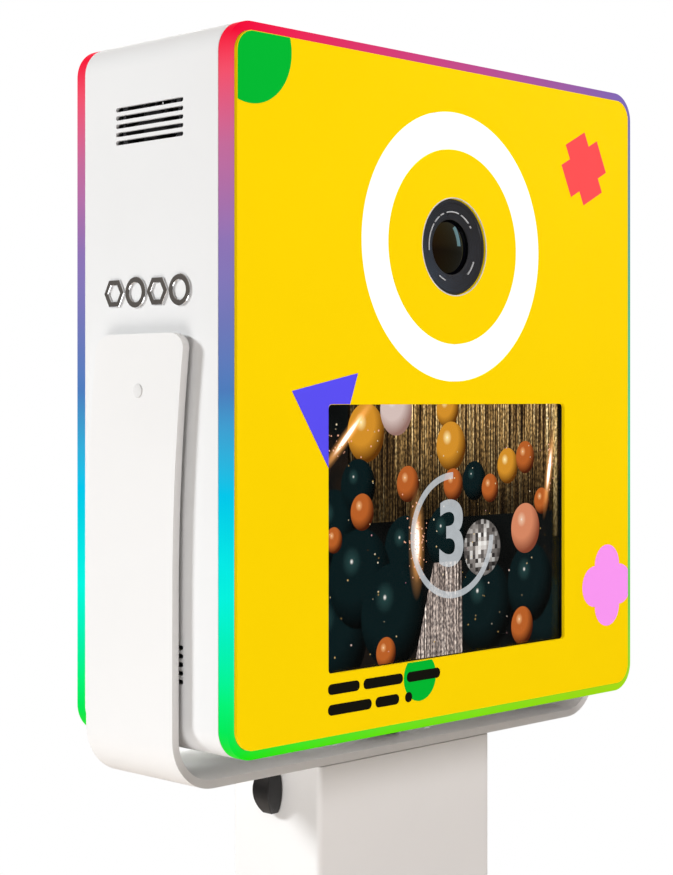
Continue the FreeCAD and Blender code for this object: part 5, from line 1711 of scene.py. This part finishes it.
@dataclass
class Studio:
    """Camera, room light, lamps and floor."""

    camera_place: Point = (-1.0109, -0.9639, 1.3954)
    heading: float = -45.5
    focal: float = 75.6
    shift_up: float = -0.0456
    floor_radius: float = 2.4
    room_strength: float = 0.33
    room_tones: tuple = ((0.0, 0.40), (0.42, 0.35), (0.50, 0.30), (0.58, 0.55), (1.0, 0.95))
    warmth: tuple = (1.0, 0.89, 0.79)

    def build(self) -> None:
        """Set up the studio."""
        scene = bpy.context.scene
        data = bpy.data.cameras.new("booth_camera")
        data.lens, data.sensor_width, data.shift_y = self.focal, 36.0, self.shift_up
        camera = bpy.data.objects.new("booth_camera", data)
        camera.location = self.camera_place
        camera.rotation_euler = (math.pi / 2, 0.0, math.radians(self.heading))
        scene.collection.objects.link(camera)
        scene.camera = camera
        scene.view_settings.view_transform = "Standard"
        self.room()
        aim = (0.0, 0.0, 1.2)
        self.lamp("key_left", (-2.5, 2.24, 2.5), (-0.2, 0.0, 1.2), (0.6, 0.6), 95.0,
                  (0.97, 0.99, 1.0), False)
        self.lamp("low_left", (-1.35, -0.35, 0.45), (-0.22, 0.0, 1.15), (0.9, 0.9), 9.0)
        self.lamp("front_warm", (0.5, -2.2, 3.0), aim, (1.6, 1.2), 51.0, (1.0, 0.95, 0.92), False)
        self.lamp("lens_glint", (2.6, -1.15, 2.25), (0.0, -0.1, 1.5), (0.5, 0.9), 4.0,
                  (0.35, 0.62, 1.0))
        self.lamp("rear_fill", (1.6, 2.6, 2.2), aim, (2.2, 2.0), 30.0)
        self.floor()

    def room(self) -> None:
        """White backdrop to the eye, with a dimmer warm room that lights the booth."""
        world = bpy.data.worlds.new("booth_room")
        bpy.context.scene.world = world
        world.use_nodes = True
        nodes = Nodes(world.node_tree)
        split = nodes.node("SeparateXYZ", {0: nodes.node("TexCoord").outputs["Generated"]})
        height = nodes.ranged(split.outputs["Z"], -1.0, 1.0)
        tones = nodes.ramp(height, [(level, (*(grey * share for share in self.warmth), 1.0))
                                    for level, grey in self.room_tones])
        room = nodes.node("Background", {"Color": tones, "Strength": self.room_strength})
        backdrop = nodes.node("Background", {"Color": (1.0, 1.0, 1.0, 1.0), "Strength": 1.0})
        seen = nodes.node("LightPath").outputs["Is Camera Ray"]
        mix = nodes.node("MixShader", {0: seen, 1: room.outputs[0], 2: backdrop.outputs[0]})
        nodes.node("OutputWorld", {"Surface": mix.outputs[0]})

    def lamp(self, name: str, place: Point, target: Point, size: tuple[float, float],
             power: float, colour: Point = (1.0, 1.0, 1.0), glossy: bool = True) -> None:
        """Add a soft rectangular light.

        Args:
            name: Name of the light.
            place: Where it stands.
            target: Point it faces.
            size: Width and height.
            power: Watts.
            colour: Linear colour.
            glossy: Whether it shows in gloss.
        """
        data = bpy.data.lights.new(name, "AREA")
        data.shape = "RECTANGLE"
        data.size, data.size_y = size
        data.energy, data.color = power, colour
        light = bpy.data.objects.new(name, data)
        light.location = place
        aim = Vector(target) - Vector(place)
        light.rotation_euler = aim.to_track_quat("-Z", "Y").to_euler()
        light.visible_camera, light.visible_glossy = False, glossy
        bpy.context.scene.collection.objects.link(light)

    def floor(self) -> None:
        """Pale floor disc."""
        disc = Workpiece.turned("studio_floor", (0.0, 0.0, -4 * MM),
                                [(self.floor_radius, 0.0), (self.floor_radius, 3.0 * MM),
                                 (self.floor_radius - 1 * MM, 4 * MM)], solid=True, sides=128,
                                axis=Axis.Z)
        disc.obj.data.materials.append(Print("studio_floor_paint", linear("D8CEC4")).material())


def dress_frame() -> None:
    """Give every CAD node that still shows the finish of its slot."""
    for entry in frame["record"]["subparts"]:
        node = frame["nodes"][entry["node"]]
        node.data.materials.clear()
        node.data.materials.append(SLOT_FINISH[entry["material_slot"]].material())


def main() -> None:
    """Build the booth piece by piece."""
    logging.basicConfig(level=logging.INFO, format="%(name)s %(message)s")
    Studio().build()
    dress_frame()
    for assembly in (Stand(), Yoke(), Head(), FrontPanel(), RingLight(), Lens(), Screen(),
                     RearAndInside()):
        LOG.info("building %s", type(assembly).__name__)
        assembly.build()


if __name__ == "__main__":
    main()
